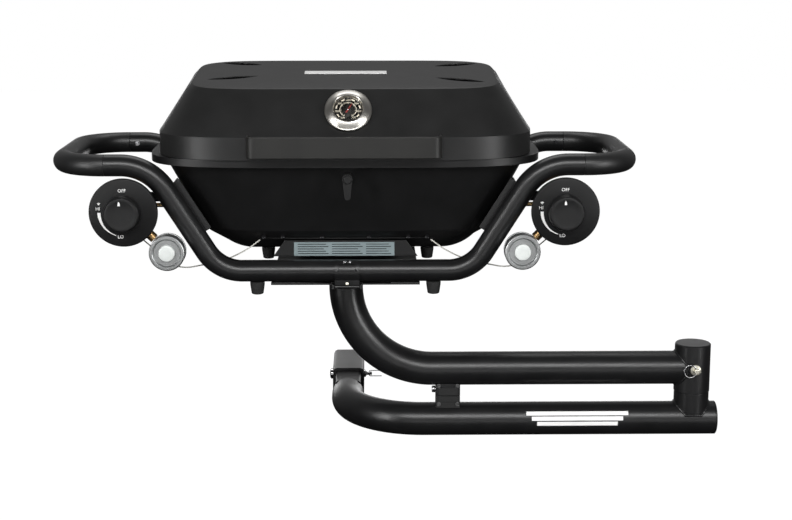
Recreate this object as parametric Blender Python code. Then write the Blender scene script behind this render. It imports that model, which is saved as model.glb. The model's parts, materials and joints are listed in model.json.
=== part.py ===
"""Swing-arm gas grill on a hitch mount, in metres, +Z up.

The origin is the middle of the hitch pin. The vehicle is on the +Y side, and +X points
towards the pivot post. The grill's own pieces are modelled about the point midway
between its two bottom rails, which the empty called grill_centre holds.
"""

import math

import bmesh
import bpy
from mathutils import Matrix, Vector

GAP = 0.0003  # between pieces that touch

# Arms and hitch
ARM_R = 0.03175
ARM_WALL = 0.004
ARM_Y = -0.323  # the plane that both arms lie in
ARM_RISE = 0.098  # lower arm's centre line to the upper one's
UPPER_BEND = 0.160
LOWER_BEND = 0.145
PIVOT_X = 0.649
LOWER_ARM_END = 0.6915
SHANK = 0.0508
SHANK_WALL = 0.0064
SHANK_START = -0.1497
SLEEVE = 0.0635
SLEEVE_LENGTH = 0.150
HITCH_PIN_R = 0.0079
PIN_SHOULDER = 0.0350
PIN_NECK_R = 0.0038
PIN_END = 0.0480
CLIP_X = 0.0425
CLIP_END = 0.0680
CLIP_R = 0.0011
CLIP_RISE = 0.0058  # from the pin's axis to each leg

# Pivot post
SPINDLE_R = 0.0225
RELIEF_R = 0.0165  # the spindle is thinner between its two bushings
RELIEF_LOW = 0.0845
RELIEF_HIGH = 0.1125
RELIEF_STEP = 0.002
BUSHING_LOWS = (0.058, 0.114)
BUSHING_LENGTH = 0.024
SLEEVE_BORE_R = 0.0275
LOCK_PIN_HOLE_R = 0.0046
LOCK_RING_R = 0.0115  # to the middle of its wire
LOCK_RING_WIRE_R = 0.001
POST_R = 0.0325
POST_BOTTOM = 0.0115
PIVOT_R = 0.0333  # outside of the turning sleeve
POST_TOP = 0.0538
SWING_BOTTOM = 0.0545
SWING_TOP = 0.1420
LOCK_Z = 0.101

# Blocks that the folded arm rests on, and their plunger
REST_LOW_X = 0.167
REST_HIGH_X = 0.212
REST_HALF_Y = 0.019
REST_SPLIT = 0.049
LATCH_Y = -0.008  # from the arms' plane
LATCH_Z = 0.060
LATCH_R = 0.0040
LATCH_HOLE_R = 0.0045

# Grill frame, from here on about the grill's centre
GRILL_X = 0.0015  # grill's centre from the hitch's own centre line
RAIL_Z = 0.319  # bottom rails above the lower arm
RAIL_R = 0.01905
RAIL_WALL = 0.002
RAIL_HALF_DEPTH = 0.160
RAIL_CORNER_LOW = 0.2205
RAIL_CORNER_HIGH = 0.3375
RAIL_BEND_LOW = 0.073
RAIL_BEND_HIGH = 0.090
HANDLE_Z = 0.186
HANDLE_SEAM = 0.414
HANDLE_REACH = 0.4965
HANDLE_BEND = 0.0815
PLATE_HALF_X = 0.130
PLATE_HALF_Y = 0.168
PLATE_THICK = 0.005
FOOT_X = 0.154
FOOT_BOTTOM = -0.041
CLAMP_X = 0.003
CLAMP_HINGE_Y = -0.1815
CLAMP_HINGE_Z = -0.0250
CLAMP_HALF_X = 0.0215
CLAMP_EAR = 0.0040
CLAMP_BARREL_R = 0.0035
CLAMP_HALF_THICK = 0.00125
BRACKET_LOW = 0.070  # along the sloping rail from its lower corner
BRACKET_HIGH = 0.172

# Cooking box: each row is half width, half depth and height of the outer skin
BOX_RINGS = (
    (0.160, 0.095, 0.0295),
    (0.209, 0.108, 0.033),
    (0.248, 0.142, 0.058),
    (0.256, 0.150, 0.068),
    (0.318, 0.186, 0.185),
)
BOX_WALL = 0.003
RIM_HALF_X = 0.345
RIM_HALF_Y = 0.200
RIM_TOP = 0.199
DRAIN_R = 0.020
BURNER_Z = 0.100
BURNER_Y = 0.060
BURNER_R = 0.010
BURNER_INLET_X = 0.290
BURNER_INNER_X = 0.050
TENT_NEAR = 0.035
TENT_FAR = 0.165
GRATE_Z = 0.170
GRATE_HALF_X = 0.3035
GRATE_HALF_Y = 0.1745
GRATE_SLOTS = 11
GRATE_PITCH = 0.0235
GRATE_SLOT = 0.0135
GRATE_HALF_THICK = 0.003
GRATE_SEAM = 0.0015  # each half's edge from the middle
BOX_EAR_X = 0.1475
EAR_HALF = 0.003
TRAY_HALF_X = 0.095
TRAY_FLOOR = 0.0207
TRAY_TOP = 0.0285
LATCH_X = 0.005
LATCH_LID_Z = 0.168

# Lid
LID_WALL = 0.0025
LID_HALF_X = 0.3295
LID_HALF_Y = 0.207
LID_BOTTOM = 0.1996
LID_SHOULDER = 0.238
LID_TOP_HALF_X = 0.272
LID_TOP_HALF_Y = 0.148
LID_TOP_Z = 0.330  # at the middle of the lid
LID_TOP_SLOPE = 0.089  # rise per metre towards the vehicle
HINGE_Y = 0.2165
HINGE_Z = 0.199
HINGE_ROD_R = 0.0035
HINGE_ROD_HALF = 0.164
LID_EAR_X = 0.1560
LID_HANDLE_HALF_X = 0.163
LID_HANDLE_Y = -0.240
LID_HANDLE_LOW = 0.207
LID_HANDLE_HIGH = 0.244
GAUGE_X = 0.0065
GAUGE_Y = -0.1755
GAUGE_Z = 0.2790
GAUGE_TILT = math.radians(37)  # lid front from upright
GAUGE_R = 0.0405
NEEDLE_TURN = math.radians(-30)

# Controls
CONTROL_X = 0.380
CONTROL_Z = 0.108
BEZEL_R = 0.059
BEZEL_FRONT = -0.192
BEZEL_BACK = -0.182
BEZEL_TAB_LOW = 0.011  # above the bezel's middle
BEZEL_TAB_HIGH = 0.029
KNOB_R = 0.0315
KNOB_FRONT = 0.2165
REGULATOR_X = 0.307
REGULATOR_Z = 0.0375
REGULATOR_R = 0.031
SUPPLY_Y = -0.1715
STEM_R = 0.0045
GAS_TUBE_R = 0.004
LEAD_R = 0.0012

TO_FRONT = Matrix.Rotation(math.pi / 2, 4, "X")  # turns +Z to -Y
TO_SIDE = Matrix.Rotation(math.pi / 2, 4, "Y")  # turns +Z to +X


def clear_scene():
    for obj in list(bpy.data.objects):
        bpy.data.objects.remove(obj, do_unlink=True)


def material(name, colour, roughness, metallic=0.0):
    made = bpy.data.materials.new(name)
    made.use_nodes = True
    shader = made.node_tree.nodes["Principled BSDF"]
    shader.inputs["Base Color"].default_value = (*colour, 1)
    shader.inputs["Roughness"].default_value = roughness
    shader.inputs["Metallic"].default_value = metallic
    return made


def empty(name, at):
    made = bpy.data.objects.new(name, None)
    made.location = at
    bpy.context.collection.objects.link(made)
    return made


def piece(name, bm, finish, parent=None, at=(0, 0, 0)):
    """An object from a bmesh, its faces turned outwards, with its own material."""
    bmesh.ops.recalc_face_normals(bm, faces=bm.faces)
    mesh = bpy.data.meshes.new(name)
    bm.to_mesh(mesh)
    bm.free()
    mesh.shade_smooth()
    mesh.set_sharp_from_angle(angle=math.radians(32))
    made = bpy.data.objects.new(name, mesh)
    made.location = at
    made.parent = parent
    if finish:
        made.data.materials.append(material(name, *finish))
    bpy.context.collection.objects.link(made)
    return made


def boolean(target, operation, bm, at=None):
    """Cuts a helper shape out of the target or joins it on, in the target's own frame."""
    helper = piece(target.name + "_helper", bm, None, target.parent)
    helper.location = target.location if at is None else at
    helper.hide_render = True
    helper.display_type = "WIRE"
    modifier = target.modifiers.new(operation.lower(), "BOOLEAN")
    modifier.operation = operation
    modifier.object = helper


def loft(rings, around=False):
    """Joins rings of equally many points. The ends are capped, or joined when it goes around."""
    bm = bmesh.new()
    rows = [[bm.verts.new(p) for p in ring] for ring in rings]
    pairs = list(zip(rows, rows[1:]))
    if around:
        pairs.append((rows[-1], rows[0]))
    else:
        bm.faces.new(rows[0])
        bm.faces.new(rows[-1])
    for low, high in pairs:
        for i in range(len(low)):
            j = (i + 1) % len(low)
            bm.faces.new((low[i], low[j], high[j], high[i]))
    return bm


def circle(radius, z, sides):
    steps = [2 * math.pi * i / sides for i in range(sides)]
    return [(radius * math.cos(a), radius * math.sin(a), z) for a in steps]


def turned(profile, sides=24, around=False, facing=None, at=(0, 0, 0)):
    """A turned piece from (radius, height) points about +Z, or about another direction."""
    bm = loft([circle(r, z, sides) for r, z in profile], around)
    bm.transform(Matrix.Translation(at) @ (facing or Matrix.Identity(4)))
    return bm


def ring(outer, inner, low, high, sides=24, facing=None, at=(0, 0, 0)):
    profile = ((inner, low), (outer, low), (outer, high), (inner, high))
    return turned(profile, sides, True, facing, at)


def block(low, high):
    bm = bmesh.new()
    bmesh.ops.create_cube(bm, size=1)
    low, high = Vector(low), Vector(high)
    size = Matrix.Diagonal((*(high - low), 1))
    bm.transform(Matrix.Translation((low + high) / 2) @ size)
    return bm


def slab(outline, low, high, place):
    """A flat outline pulled from low to high. place turns (u, v, height) into a point."""
    return loft([[place(u, v, h) for u, v in outline] for h in (low, high)])


def rounded(points, radii, steps=6):
    """A path through points whose inner corners are arcs of the given radii."""
    points = [Vector(p) for p in points]
    path = [points[0]]
    for before, corner, after, radius in zip(points, points[1:], points[2:], radii):
        back = (before - corner).normalized()
        ahead = (after - corner).normalized()
        half = back.angle(ahead) / 2
        centre = corner + (back + ahead).normalized() * radius / math.sin(half)
        start = corner + back * radius / math.tan(half) - centre
        end = corner + ahead * radius / math.tan(half) - centre
        turn = start.angle(end)
        for i in range(steps + 1):
            t = i / steps
            arc = start * math.sin((1 - t) * turn) + end * math.sin(t * turn)
            path.append(centre + arc / math.sin(turn))
    path.append(points[-1])
    return path


def swept(path, normal, profile, inner=None):
    """Pulls a profile along a flat path. normal stands square to the plane of the path."""
    normal = Vector(normal)
    steps = [(b - a).normalized() for a, b in zip(path, path[1:])]
    outside, inside = [], []
    for i, point in enumerate(path):
        before = steps[max(i - 1, 0)]
        after = steps[min(i, len(steps) - 1)]
        along = (before + after).normalized()
        side = normal.cross(along) / along.dot(after)
        outside.append([point + side * u + normal * v for u, v in profile])
        if inner:
            inside.append([point + side * u + normal * v for u, v in inner])
    return loft(outside + inside[::-1], True) if inner else loft(outside)


def disc(radius, sides):
    return [(x, y) for x, y, _ in circle(radius, 0, sides)]


def tube(path, normal, radius, wall=None, sides=12):
    inner = disc(radius - wall, sides) if wall else None
    return swept(path, normal, disc(radius, sides), inner)


def rounded_square(half, corner, steps=2):
    outline = []
    for quarter in range(4):
        turn = quarter * math.pi / 2
        cx = (half - corner) * (1 if quarter in (0, 3) else -1)
        cy = (half - corner) * (1 if quarter in (0, 1) else -1)
        for i in range(steps + 1):
            a = turn + math.pi / 2 * i / steps
            outline.append((cx + corner * math.cos(a), cy + corner * math.sin(a)))
    return outline


def pillow(half_x, half_y, height, power=4.0, centre_y=0.0, slope=0.0, count=40):
    """A ring shaped as a rectangle with bowed sides and soft corners."""
    points = []
    for i in range(count):
        a = 2 * math.pi * (i + 0.5) / count
        c, s = math.cos(a), math.sin(a)
        reach = (abs(c) ** power + abs(s) ** power) ** (-1 / power)
        x, y = half_x * c * reach, half_y * s * reach + centre_y
        points.append((x, y, height + slope * y))
    return points


def spread(points, spacing, subdivisions=12):
    """Evenly spaced points along a smooth curve through hand-placed ones."""
    points = [Vector(p) for p in points]
    padded = [2 * points[0] - points[1], *points, 2 * points[-1] - points[-2]]
    fine = []
    for a, b, c, d in zip(padded, padded[1:], padded[2:], padded[3:]):
        for i in range(subdivisions):
            t = i / subdivisions
            fine.append(
                0.5 * (2 * b + (c - a) * t + (2 * a - 5 * b + 4 * c - d) * t**2
                       + (3 * b - a - 3 * c + d) * t**3)
            )
    fine.append(points[-1])
    total = sum((q - p).length for p, q in zip(fine, fine[1:]))
    step = total / max(round(total / spacing), 1)
    kept, walked = [fine[0]], 0.0
    for p, q in zip(fine, fine[1:]):
        walked += (q - p).length
        if walked >= step * len(kept) - 1e-9 and len(kept) * step < total - step / 2:
            kept.append(q)
    return kept + [fine[-1]]


def wire(name, points, radius, spacing, finish, parent):
    """A round lead or pipe along hand-placed points, as a bevelled curve."""
    curve = bpy.data.curves.new(name, "CURVE")
    curve.dimensions = "3D"
    curve.bevel_depth = radius
    curve.bevel_resolution = 2
    curve.use_fill_caps = True
    route = spread(points, spacing)
    spline = curve.splines.new("POLY")
    spline.points.add(len(route) - 1)
    for point, place in zip(spline.points, route):
        point.co = (*place, 1)
    made = bpy.data.objects.new(name, curve)
    made.parent = parent
    curve.materials.append(material(name, *finish))
    bpy.context.collection.objects.link(made)


POWDER = ((0.022, 0.022, 0.023), 0.42)
ENAMEL = ((0.012, 0.012, 0.013), 0.5)
RUBBER = ((0.010, 0.010, 0.010), 0.8)
STEEL = ((0.60, 0.60, 0.60), 0.3, 1.0)
CHROME = ((0.80, 0.80, 0.80), 0.12, 1.0)
ZINC = ((0.55, 0.57, 0.58), 0.35, 1.0)
BRASS = ((0.70, 0.42, 0.16), 0.35, 1.0)
IRON = ((0.03, 0.03, 0.03), 0.6, 0.5)
WIRE_SKIN = ((0.55, 0.54, 0.50), 0.5)


# Hitch end and lower arm -------------------------------------------------------------


def make_lower_arm():
    route = rounded(
        [(LOWER_ARM_END, ARM_Y, 0), (0, ARM_Y, 0), (0, SHANK_START - GAP, 0)],
        [LOWER_BEND],
        8,
    )
    piece("lower_arm", tube(route, (0, 0, 1), ARM_R, ARM_WALL, 18), POWDER)
    cap = turned(
        ((ARM_R, GAP), (ARM_R, 0.0025), (ARM_R - 0.001, 0.0035)), 18, False, TO_SIDE
    )
    piece("lower_arm_cap", cap, POWDER, None, (LOWER_ARM_END, ARM_Y, 0))


def make_shank():
    half = SLEEVE_LENGTH / 2
    shank_path = [Vector((0, SHANK_START, 0)), Vector((0, half + 0.003, 0))]
    shank = swept(
        shank_path,
        (0, 0, 1),
        rounded_square(SHANK / 2, 0.006),
        rounded_square(SHANK / 2 - SHANK_WALL, 0.003),
    )
    shank = piece("shank", shank, POWDER)
    sleeve = swept(
        [Vector((0, -half, 0)), Vector((0, half, 0))],
        (0, 0, 1),
        rounded_square(SLEEVE / 2, 0.008),
        rounded_square(SHANK / 2 + GAP, 0.006),
    )
    sleeve = piece("adapter_sleeve", sleeve, POWDER)
    for part in (shank, sleeve):
        hole = ((HITCH_PIN_R + GAP, -SLEEVE), (HITCH_PIN_R + GAP, SLEEVE))
        boolean(part, "DIFFERENCE", turned(hole, 20, False, TO_SIDE))


def make_hitch_pin():
    head = -SLEEVE / 2 - GAP
    profile = (
        (0.0085, head - 0.007),
        (0.0110, head - 0.0055),
        (0.0110, head),
        (HITCH_PIN_R, head),
        (HITCH_PIN_R, PIN_SHOULDER),
        (PIN_NECK_R, PIN_SHOULDER + 0.002),
        (PIN_NECK_R, PIN_END - 0.001),
        (PIN_NECK_R - 0.001, PIN_END),
    )
    pin = piece("hitch_pin", turned(profile, 20, False, TO_SIDE), CHROME)
    hole = turned(((CLIP_R + GAP, -0.02), (CLIP_R + GAP, 0.02)), 10, at=(CLIP_X, 0, 0))
    boolean(pin, "DIFFERENCE", hole)
    route = rounded(
        [
            (CLIP_END, 0, CLIP_RISE), (CLIP_X, 0, CLIP_RISE),
            (CLIP_X, 0, -CLIP_RISE), (CLIP_END, 0, -CLIP_RISE),
        ],
        [CLIP_RISE * 0.45] * 2,
        4,
    )
    piece("hitch_clip", tube(route, (0, 1, 0), CLIP_R, None, 8), STEEL)


def make_post():
    place = (PIVOT_X, ARM_Y, 0)
    post = piece("pivot_post", turned(((POST_R, POST_BOTTOM), (POST_R, POST_TOP)), 32), POWDER, None, place)
    saddle = turned(((ARM_R + GAP, -0.06), (ARM_R + GAP, 0.06)), 36, False, TO_SIDE)
    boolean(post, "DIFFERENCE", saddle)
    profile = (
        (SPINDLE_R, POST_TOP + GAP),
        (SPINDLE_R, RELIEF_LOW),
        (RELIEF_R, RELIEF_LOW + RELIEF_STEP),
        (RELIEF_R, RELIEF_HIGH - RELIEF_STEP),
        (SPINDLE_R, RELIEF_HIGH),
        (SPINDLE_R, SWING_TOP - 0.004),
        (SPINDLE_R - 0.002, SWING_TOP - 0.002),
    )
    piece("pivot_spindle", turned(profile, 24), STEEL, None, place)


def make_rest_block():
    low = (REST_LOW_X, ARM_Y - REST_HALF_Y, 0.012)
    high = (REST_HIGH_X, ARM_Y + REST_HALF_Y, REST_SPLIT)
    rest = piece("rest_block", block(low, high), RUBBER)
    saddle = turned(((ARM_R + GAP, 0.1), (ARM_R + GAP, 0.3)), 36, False, TO_SIDE, (0, ARM_Y, 0))
    boolean(rest, "DIFFERENCE", saddle)


# Swing arm ---------------------------------------------------------------------------


def make_upper_arm():
    """Pieces that turn about the post. Each one's origin is on the post's axis."""
    axis = empty("pivot_axis", (PIVOT_X, ARM_Y, 0))
    top = RAIL_Z - RAIL_R - GAP - PLATE_THICK - GAP
    route = rounded(
        [(-PIVOT_X, 0, top), (-PIVOT_X, 0, ARM_RISE), (-0.010, 0, ARM_RISE)],
        [UPPER_BEND],
        8,
    )
    arm = piece("upper_arm", tube(route, (0, 1, 0), ARM_R, ARM_WALL, 18), POWDER, axis)
    boolean(arm, "DIFFERENCE", turned(((PIVOT_R + GAP, 0), (PIVOT_R + GAP, 0.2)), 36))
    cup = (
        (SLEEVE_BORE_R, SWING_TOP),
        (SLEEVE_BORE_R, SWING_BOTTOM),
        (PIVOT_R, SWING_BOTTOM),
        (PIVOT_R, SWING_TOP + 0.0020),
        (PIVOT_R - 0.0015, SWING_TOP + 0.0034),
    )
    sleeve = piece("pivot_sleeve", turned(cup), POWDER, axis)
    across = ((LOCK_PIN_HOLE_R, 0.01), (LOCK_PIN_HOLE_R, 0.05))
    hole = turned(across, 16, False, TO_FRONT, (0, 0, LOCK_Z))
    boolean(sleeve, "DIFFERENCE", hole)
    inner = SPINDLE_R / math.cos(math.pi / 24) + 0.0001
    outer = SLEEVE_BORE_R * math.cos(math.pi / 24) - GAP
    for name, low in zip(("lower_bushing", "upper_bushing"), BUSHING_LOWS):
        piece(name, ring(outer, inner, low, low + BUSHING_LENGTH), BRASS, axis)
    upper = block(
        (REST_LOW_X - PIVOT_X, -REST_HALF_Y, REST_SPLIT + 2 * GAP),
        (REST_HIGH_X - PIVOT_X, REST_HALF_Y, 0.086),
    )
    stop = piece("stop_block", upper, POWDER, axis)
    saddle = turned(
        ((ARM_R + GAP, -0.6), (ARM_R + GAP, -0.3)), 36, False, TO_SIDE, (0, 0, ARM_RISE)
    )
    boolean(stop, "DIFFERENCE", saddle)
    hole = turned(
        ((LATCH_HOLE_R, -0.6), (LATCH_HOLE_R, REST_LOW_X - PIVOT_X + 0.018)),
        12, False, TO_SIDE, (0, LATCH_Y, LATCH_Z),
    )
    boolean(stop, "DIFFERENCE", hole)


def make_arm_latch():
    start = empty("latch_axis", (REST_LOW_X, ARM_Y + LATCH_Y, LATCH_Z))
    profile = (
        (LATCH_R, 0.012),
        (LATCH_R, -0.0012),
        (0.0060, -0.0012),
        (0.0065, -0.0020),
        (0.0065, -0.0065),
        (0.0055, -0.0075),
    )
    piece("latch_plunger", turned(profile, 12, False, TO_SIDE), STEEL, start)


def make_lock_pin():
    """Sprung pin through the sleeve. Its tip lies in the thinner middle of the spindle."""
    start = empty("lock_axis", (PIVOT_X, ARM_Y - PIVOT_R, LOCK_Z))
    profile = (
        (0.0030, -0.0135),
        (0.0040, -0.0120),
        (0.0040, 0.0006),
        (0.0100, 0.0006),
        (0.0100, 0.0040),
        (0.0050, 0.0050),
        (0.0050, 0.0140),
        (0.0035, 0.0155),
    )
    pin = piece("lock_pin", turned(profile, 16, False, TO_FRONT), CHROME, start)
    boolean(pin, "DIFFERENCE", turned(((0.0026, -0.01), (0.0026, 0.01)), 10, at=(0, -0.0105, 0)))
    hoop = empty("ring_axis", (PIVOT_X, ARM_Y - PIVOT_R - 0.0105, LOCK_Z))
    radius = LOCK_RING_R
    route = [
        Vector((radius * (math.cos(a) - 1), radius * math.sin(a), 0))
        for a in (2 * math.pi * i / 20 for i in range(20))
    ]
    path = loft(
        [
            [
                p + (p + Vector((radius, 0, 0))).normalized() * LOCK_RING_WIRE_R * math.cos(b)
                + Vector((0, 0, LOCK_RING_WIRE_R * math.sin(b)))
                for b in (2 * math.pi * k / 6 for k in range(6))
            ]
            for p in route
        ],
        True,
    )
    path.transform(TO_FRONT)
    piece("lock_ring", path, STEEL, hoop)


# Grill frame -------------------------------------------------------------------------


def make_platform(parent):
    top = -RAIL_R - GAP
    plate = piece(
        "platform_plate",
        block((-PLATE_HALF_X, -PLATE_HALF_Y, top - PLATE_THICK), (PLATE_HALF_X, PLATE_HALF_Y, top)),
        POWDER,
        parent,
    )
    outside = CLAMP_HALF_X + 0.001
    for x in (CLAMP_X - outside - CLAMP_EAR, CLAMP_X + outside):
        low = (x, CLAMP_HINGE_Y - CLAMP_EAR, CLAMP_HINGE_Z - CLAMP_EAR)
        boolean(plate, "UNION", block(low, (x + CLAMP_EAR, -0.165, top - 0.001)))


def make_rails(parent):
    for name, y in (("front_rail", -RAIL_HALF_DEPTH), ("rear_rail", RAIL_HALF_DEPTH)):
        end = HANDLE_SEAM - GAP / 2
        corners = [
            (-end, y, HANDLE_Z),
            (-RAIL_CORNER_HIGH, y, HANDLE_Z),
            (-RAIL_CORNER_LOW, y, 0),
            (RAIL_CORNER_LOW, y, 0),
            (RAIL_CORNER_HIGH, y, HANDLE_Z),
            (end, y, HANDLE_Z),
        ]
        bends = [RAIL_BEND_HIGH, RAIL_BEND_LOW, RAIL_BEND_LOW, RAIL_BEND_HIGH]
        route = rounded(corners, bends, 4)
        piece(name, tube(route, (0, 1, 0), RAIL_R, RAIL_WALL), POWDER, parent)
    for side, name in ((-1, "handle_left"), (1, "handle_right")):
        seam = side * (HANDLE_SEAM + GAP / 2)
        reach = side * HANDLE_REACH
        corners = [
            (seam, -RAIL_HALF_DEPTH, HANDLE_Z),
            (reach, -RAIL_HALF_DEPTH, HANDLE_Z),
            (reach, RAIL_HALF_DEPTH, HANDLE_Z),
            (seam, RAIL_HALF_DEPTH, HANDLE_Z),
        ]
        route = rounded(corners, [HANDLE_BEND] * 2, 5)
        piece(name, tube(route, (0, 0, 1), RAIL_R, RAIL_WALL), POWDER, parent)


def make_feet(parent):
    profile = ((0.0095, 0), (0.0105, 0.001), (0.0128, 0.018), (0.0128, -RAIL_R - GAP - FOOT_BOTTOM))
    for y, end in ((-RAIL_HALF_DEPTH, "front"), (RAIL_HALF_DEPTH, "rear")):
        for x, side in ((-FOOT_X, "left"), (FOOT_X, "right")):
            foot = turned(profile, 16)
            piece(f"foot_{end}_{side}", foot, RUBBER, parent, (x, y, FOOT_BOTTOM))


def make_side_brackets(parent):
    """An angle along each sloping rail, between the rail and the cooking box."""
    low = Vector((-RAIL_CORNER_LOW, 0, 0))
    slope = (Vector((-RAIL_CORNER_HIGH, 0, HANDLE_Z)) - low).normalized()
    inward = Vector((slope.z, 0, -slope.x))
    outline = (
        (0.0168, -0.150),
        (0.0285, -0.150),
        (0.0285, -0.146),
        (0.0198, -0.146),
        (0.0198, -0.104),
        (0.0168, -0.104),
    )
    for side, name in ((1, "side_bracket_left"), (-1, "side_bracket_right")):

        def place(u, v, h, side=side):
            point = low + inward * u + slope * h + Vector((0, v, 0))
            return Vector((point.x * side, point.y, point.z))

        piece(name, slab(outline, BRACKET_LOW, BRACKET_HIGH, place), POWDER, parent)


def make_rail_clamp(parent):
    """Hinged jaw over the front rail. Its origin is on its hinge."""
    hinge = empty("clamp_axis", (CLAMP_X, CLAMP_HINGE_Y, CLAMP_HINGE_Z))
    hinge.parent = parent
    radius = RAIL_R + 2 * GAP + CLAMP_HALF_THICK
    centre = Vector((0, -RAIL_HALF_DEPTH - CLAMP_HINGE_Y, -CLAMP_HINGE_Z))
    route = []
    for i in range(9):
        a = math.radians(120 + 105 * i / 8)
        route.append(centre + Vector((0, radius * math.cos(a), radius * math.sin(a))))
    route.append(Vector((0, 0, 0.001)))
    half, thick = CLAMP_HALF_X, CLAMP_HALF_THICK
    flat = [(-thick, -half), (thick, -half), (thick, half), (-thick, half)]
    jaw = piece("rail_clamp", swept(route, (1, 0, 0), flat), POWDER, hinge)
    boolean(jaw, "UNION", turned(((CLAMP_BARREL_R, -half), (CLAMP_BARREL_R, half)), 12, False, TO_SIDE))
    window = block((-0.0145, -0.02, 0.0280), (0.0145, 0.012, 0.0390))
    boolean(jaw, "DIFFERENCE", window)


# Cooking box -------------------------------------------------------------------------


def box_skin(grow):
    return [pillow(a + grow, b + grow, z) for a, b, z in BOX_RINGS]


def make_firebox(parent):
    outer = box_skin(0)
    outer += [
        pillow(RIM_HALF_X, RIM_HALF_Y, 0.186),
        pillow(RIM_HALF_X, RIM_HALF_Y, RIM_TOP),
        pillow(0.315, 0.183, RIM_TOP),
    ]
    inner = [
        pillow(a - BOX_WALL, b - BOX_WALL, z + BOX_WALL) for a, b, z in BOX_RINGS[-1::-1]
    ]
    drain = [pillow(DRAIN_R, DRAIN_R, z, 2.0) for z in (BOX_RINGS[0][2] + BOX_WALL, BOX_RINGS[0][2])]
    firebox = piece("firebox", loft(outer + inner + drain, True), ENAMEL, parent)
    for side in (-1, 1):
        x = side * BOX_EAR_X
        ear = [
            (0.190, 0.1870), (0.2240, 0.1870), (0.2240, 0.2055),
            (0.2100, 0.2055), (0.2100, 0.1985), (0.190, 0.1985),
        ]
        boolean(firebox, "UNION", slab(ear, x - EAR_HALF, x + EAR_HALF, lambda u, v, h: (h, u, v)))
        hole = turned(
            ((HINGE_ROD_R + GAP, x - 0.01), (HINGE_ROD_R + GAP, x + 0.01)),
            12, False, TO_SIDE, (0, HINGE_Y, HINGE_Z),
        )
        boolean(firebox, "DIFFERENCE", hole)
        low, high = sorted((side * 0.20, side * 0.31))
        port = turned(
            ((BURNER_R + 0.001, low), (BURNER_R + 0.001, high)),
            16, False, TO_SIDE, (0, -BURNER_Y, BURNER_Z),
        )
        boolean(firebox, "DIFFERENCE", port)
    rod = turned(((HINGE_ROD_R, -HINGE_ROD_HALF), (HINGE_ROD_R, HINGE_ROD_HALF)), 12, False, TO_SIDE)
    piece("hinge_rod", rod, STEEL, parent, (0, HINGE_Y, HINGE_Z))


def make_burners(parent):
    """Bent tube burners. Each one's inlet comes out through the side of the box."""
    for side, name in ((-1, "burner_left"), (1, "burner_right")):
        route = rounded(
            [
                (side * BURNER_INLET_X, -BURNER_Y, BURNER_Z),
                (side * BURNER_INNER_X, -BURNER_Y, BURNER_Z),
                (side * BURNER_INNER_X, BURNER_Y, BURNER_Z),
                (side * 0.210, BURNER_Y, BURNER_Z),
            ],
            [0.035, 0.035],
            5,
        )
        piece(name, tube(route, (0, 0, 1), BURNER_R, None, 10), IRON, parent)


def make_heat_tents(parent):
    outline = (
        (-0.154, 0.1235), (0, 0.1450), (0.154, 0.1235),
        (0.154, 0.1255), (0, 0.1470), (-0.154, 0.1255),
    )
    for side, name in ((-1, "heat_tent_left"), (1, "heat_tent_right")):
        low, high = sorted((side * TENT_NEAR, side * TENT_FAR))
        piece(name, slab(outline, low, high, lambda u, v, h: (h, u, v)), IRON, parent)


def make_grates(parent):
    """Two cast halves with long slots. The sloping wall of the box holds their edges."""
    half_x, half_y = GRATE_HALF_X, GRATE_HALF_Y
    edge = [(x, y) for x, y, _ in pillow(half_x, half_y, 0) if x > 0.01]
    edge.sort(key=lambda p: math.atan2(p[1], p[0]))
    ends = edge[-1][1]
    outline = [(GRATE_SEAM, -ends)] + edge + [(GRATE_SEAM, ends)]
    for side, name in ((-1, "grate_left"), (1, "grate_right")):
        curve = bpy.data.curves.new(name, "CURVE")
        curve.dimensions = "2D"
        curve.fill_mode = "BOTH"
        curve.extrude = GRATE_HALF_THICK
        loops = [outline]
        for i in range(GRATE_SLOTS):
            x = 0.018 + i * GRATE_PITCH
            reach = half_y * (1 - ((x + 0.014) / half_x) ** 4) ** 0.25 - 0.012
            far = x + GRATE_SLOT
            loops.append([(x, -reach), (far, -reach), (far, reach), (x, reach)])
        for points in loops:
            spline = curve.splines.new("POLY")
            spline.points.add(len(points) - 1)
            for point, (x, y) in zip(spline.points, points):
                point.co = (side * x, y, 0, 1)
            spline.use_cyclic_u = True
        grate = bpy.data.objects.new(name, curve)
        grate.parent = parent
        grate.location = (0, 0, GRATE_Z + GRATE_HALF_THICK)
        curve.materials.append(material(name, *IRON))
        bpy.context.collection.objects.link(grate)


def make_grease_tray(parent):
    half_x, floor, top = TRAY_HALF_X, TRAY_FLOOR, TRAY_TOP
    corners = ((-1, -1), (1, -1), (1, 1), (-1, 1))

    def rim(inset, z):
        return [
            (sx * (half_x - inset), (-0.1345 + inset) if sy < 0 else (0.166 - inset), z)
            for sx, sy in corners
        ]

    pan = loft([rim(0, floor), rim(0, top), rim(0.0015, top), rim(0.0015, floor + 0.0015)])
    tray = piece("grease_tray", pan, ENAMEL, parent)
    face = ((-0.127, floor), (0.127, floor), (0.107, 0.049), (-0.107, 0.049))
    boolean(tray, "UNION", slab(face, -0.1370, -0.1338, lambda u, v, h: (u, h, v)))


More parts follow.
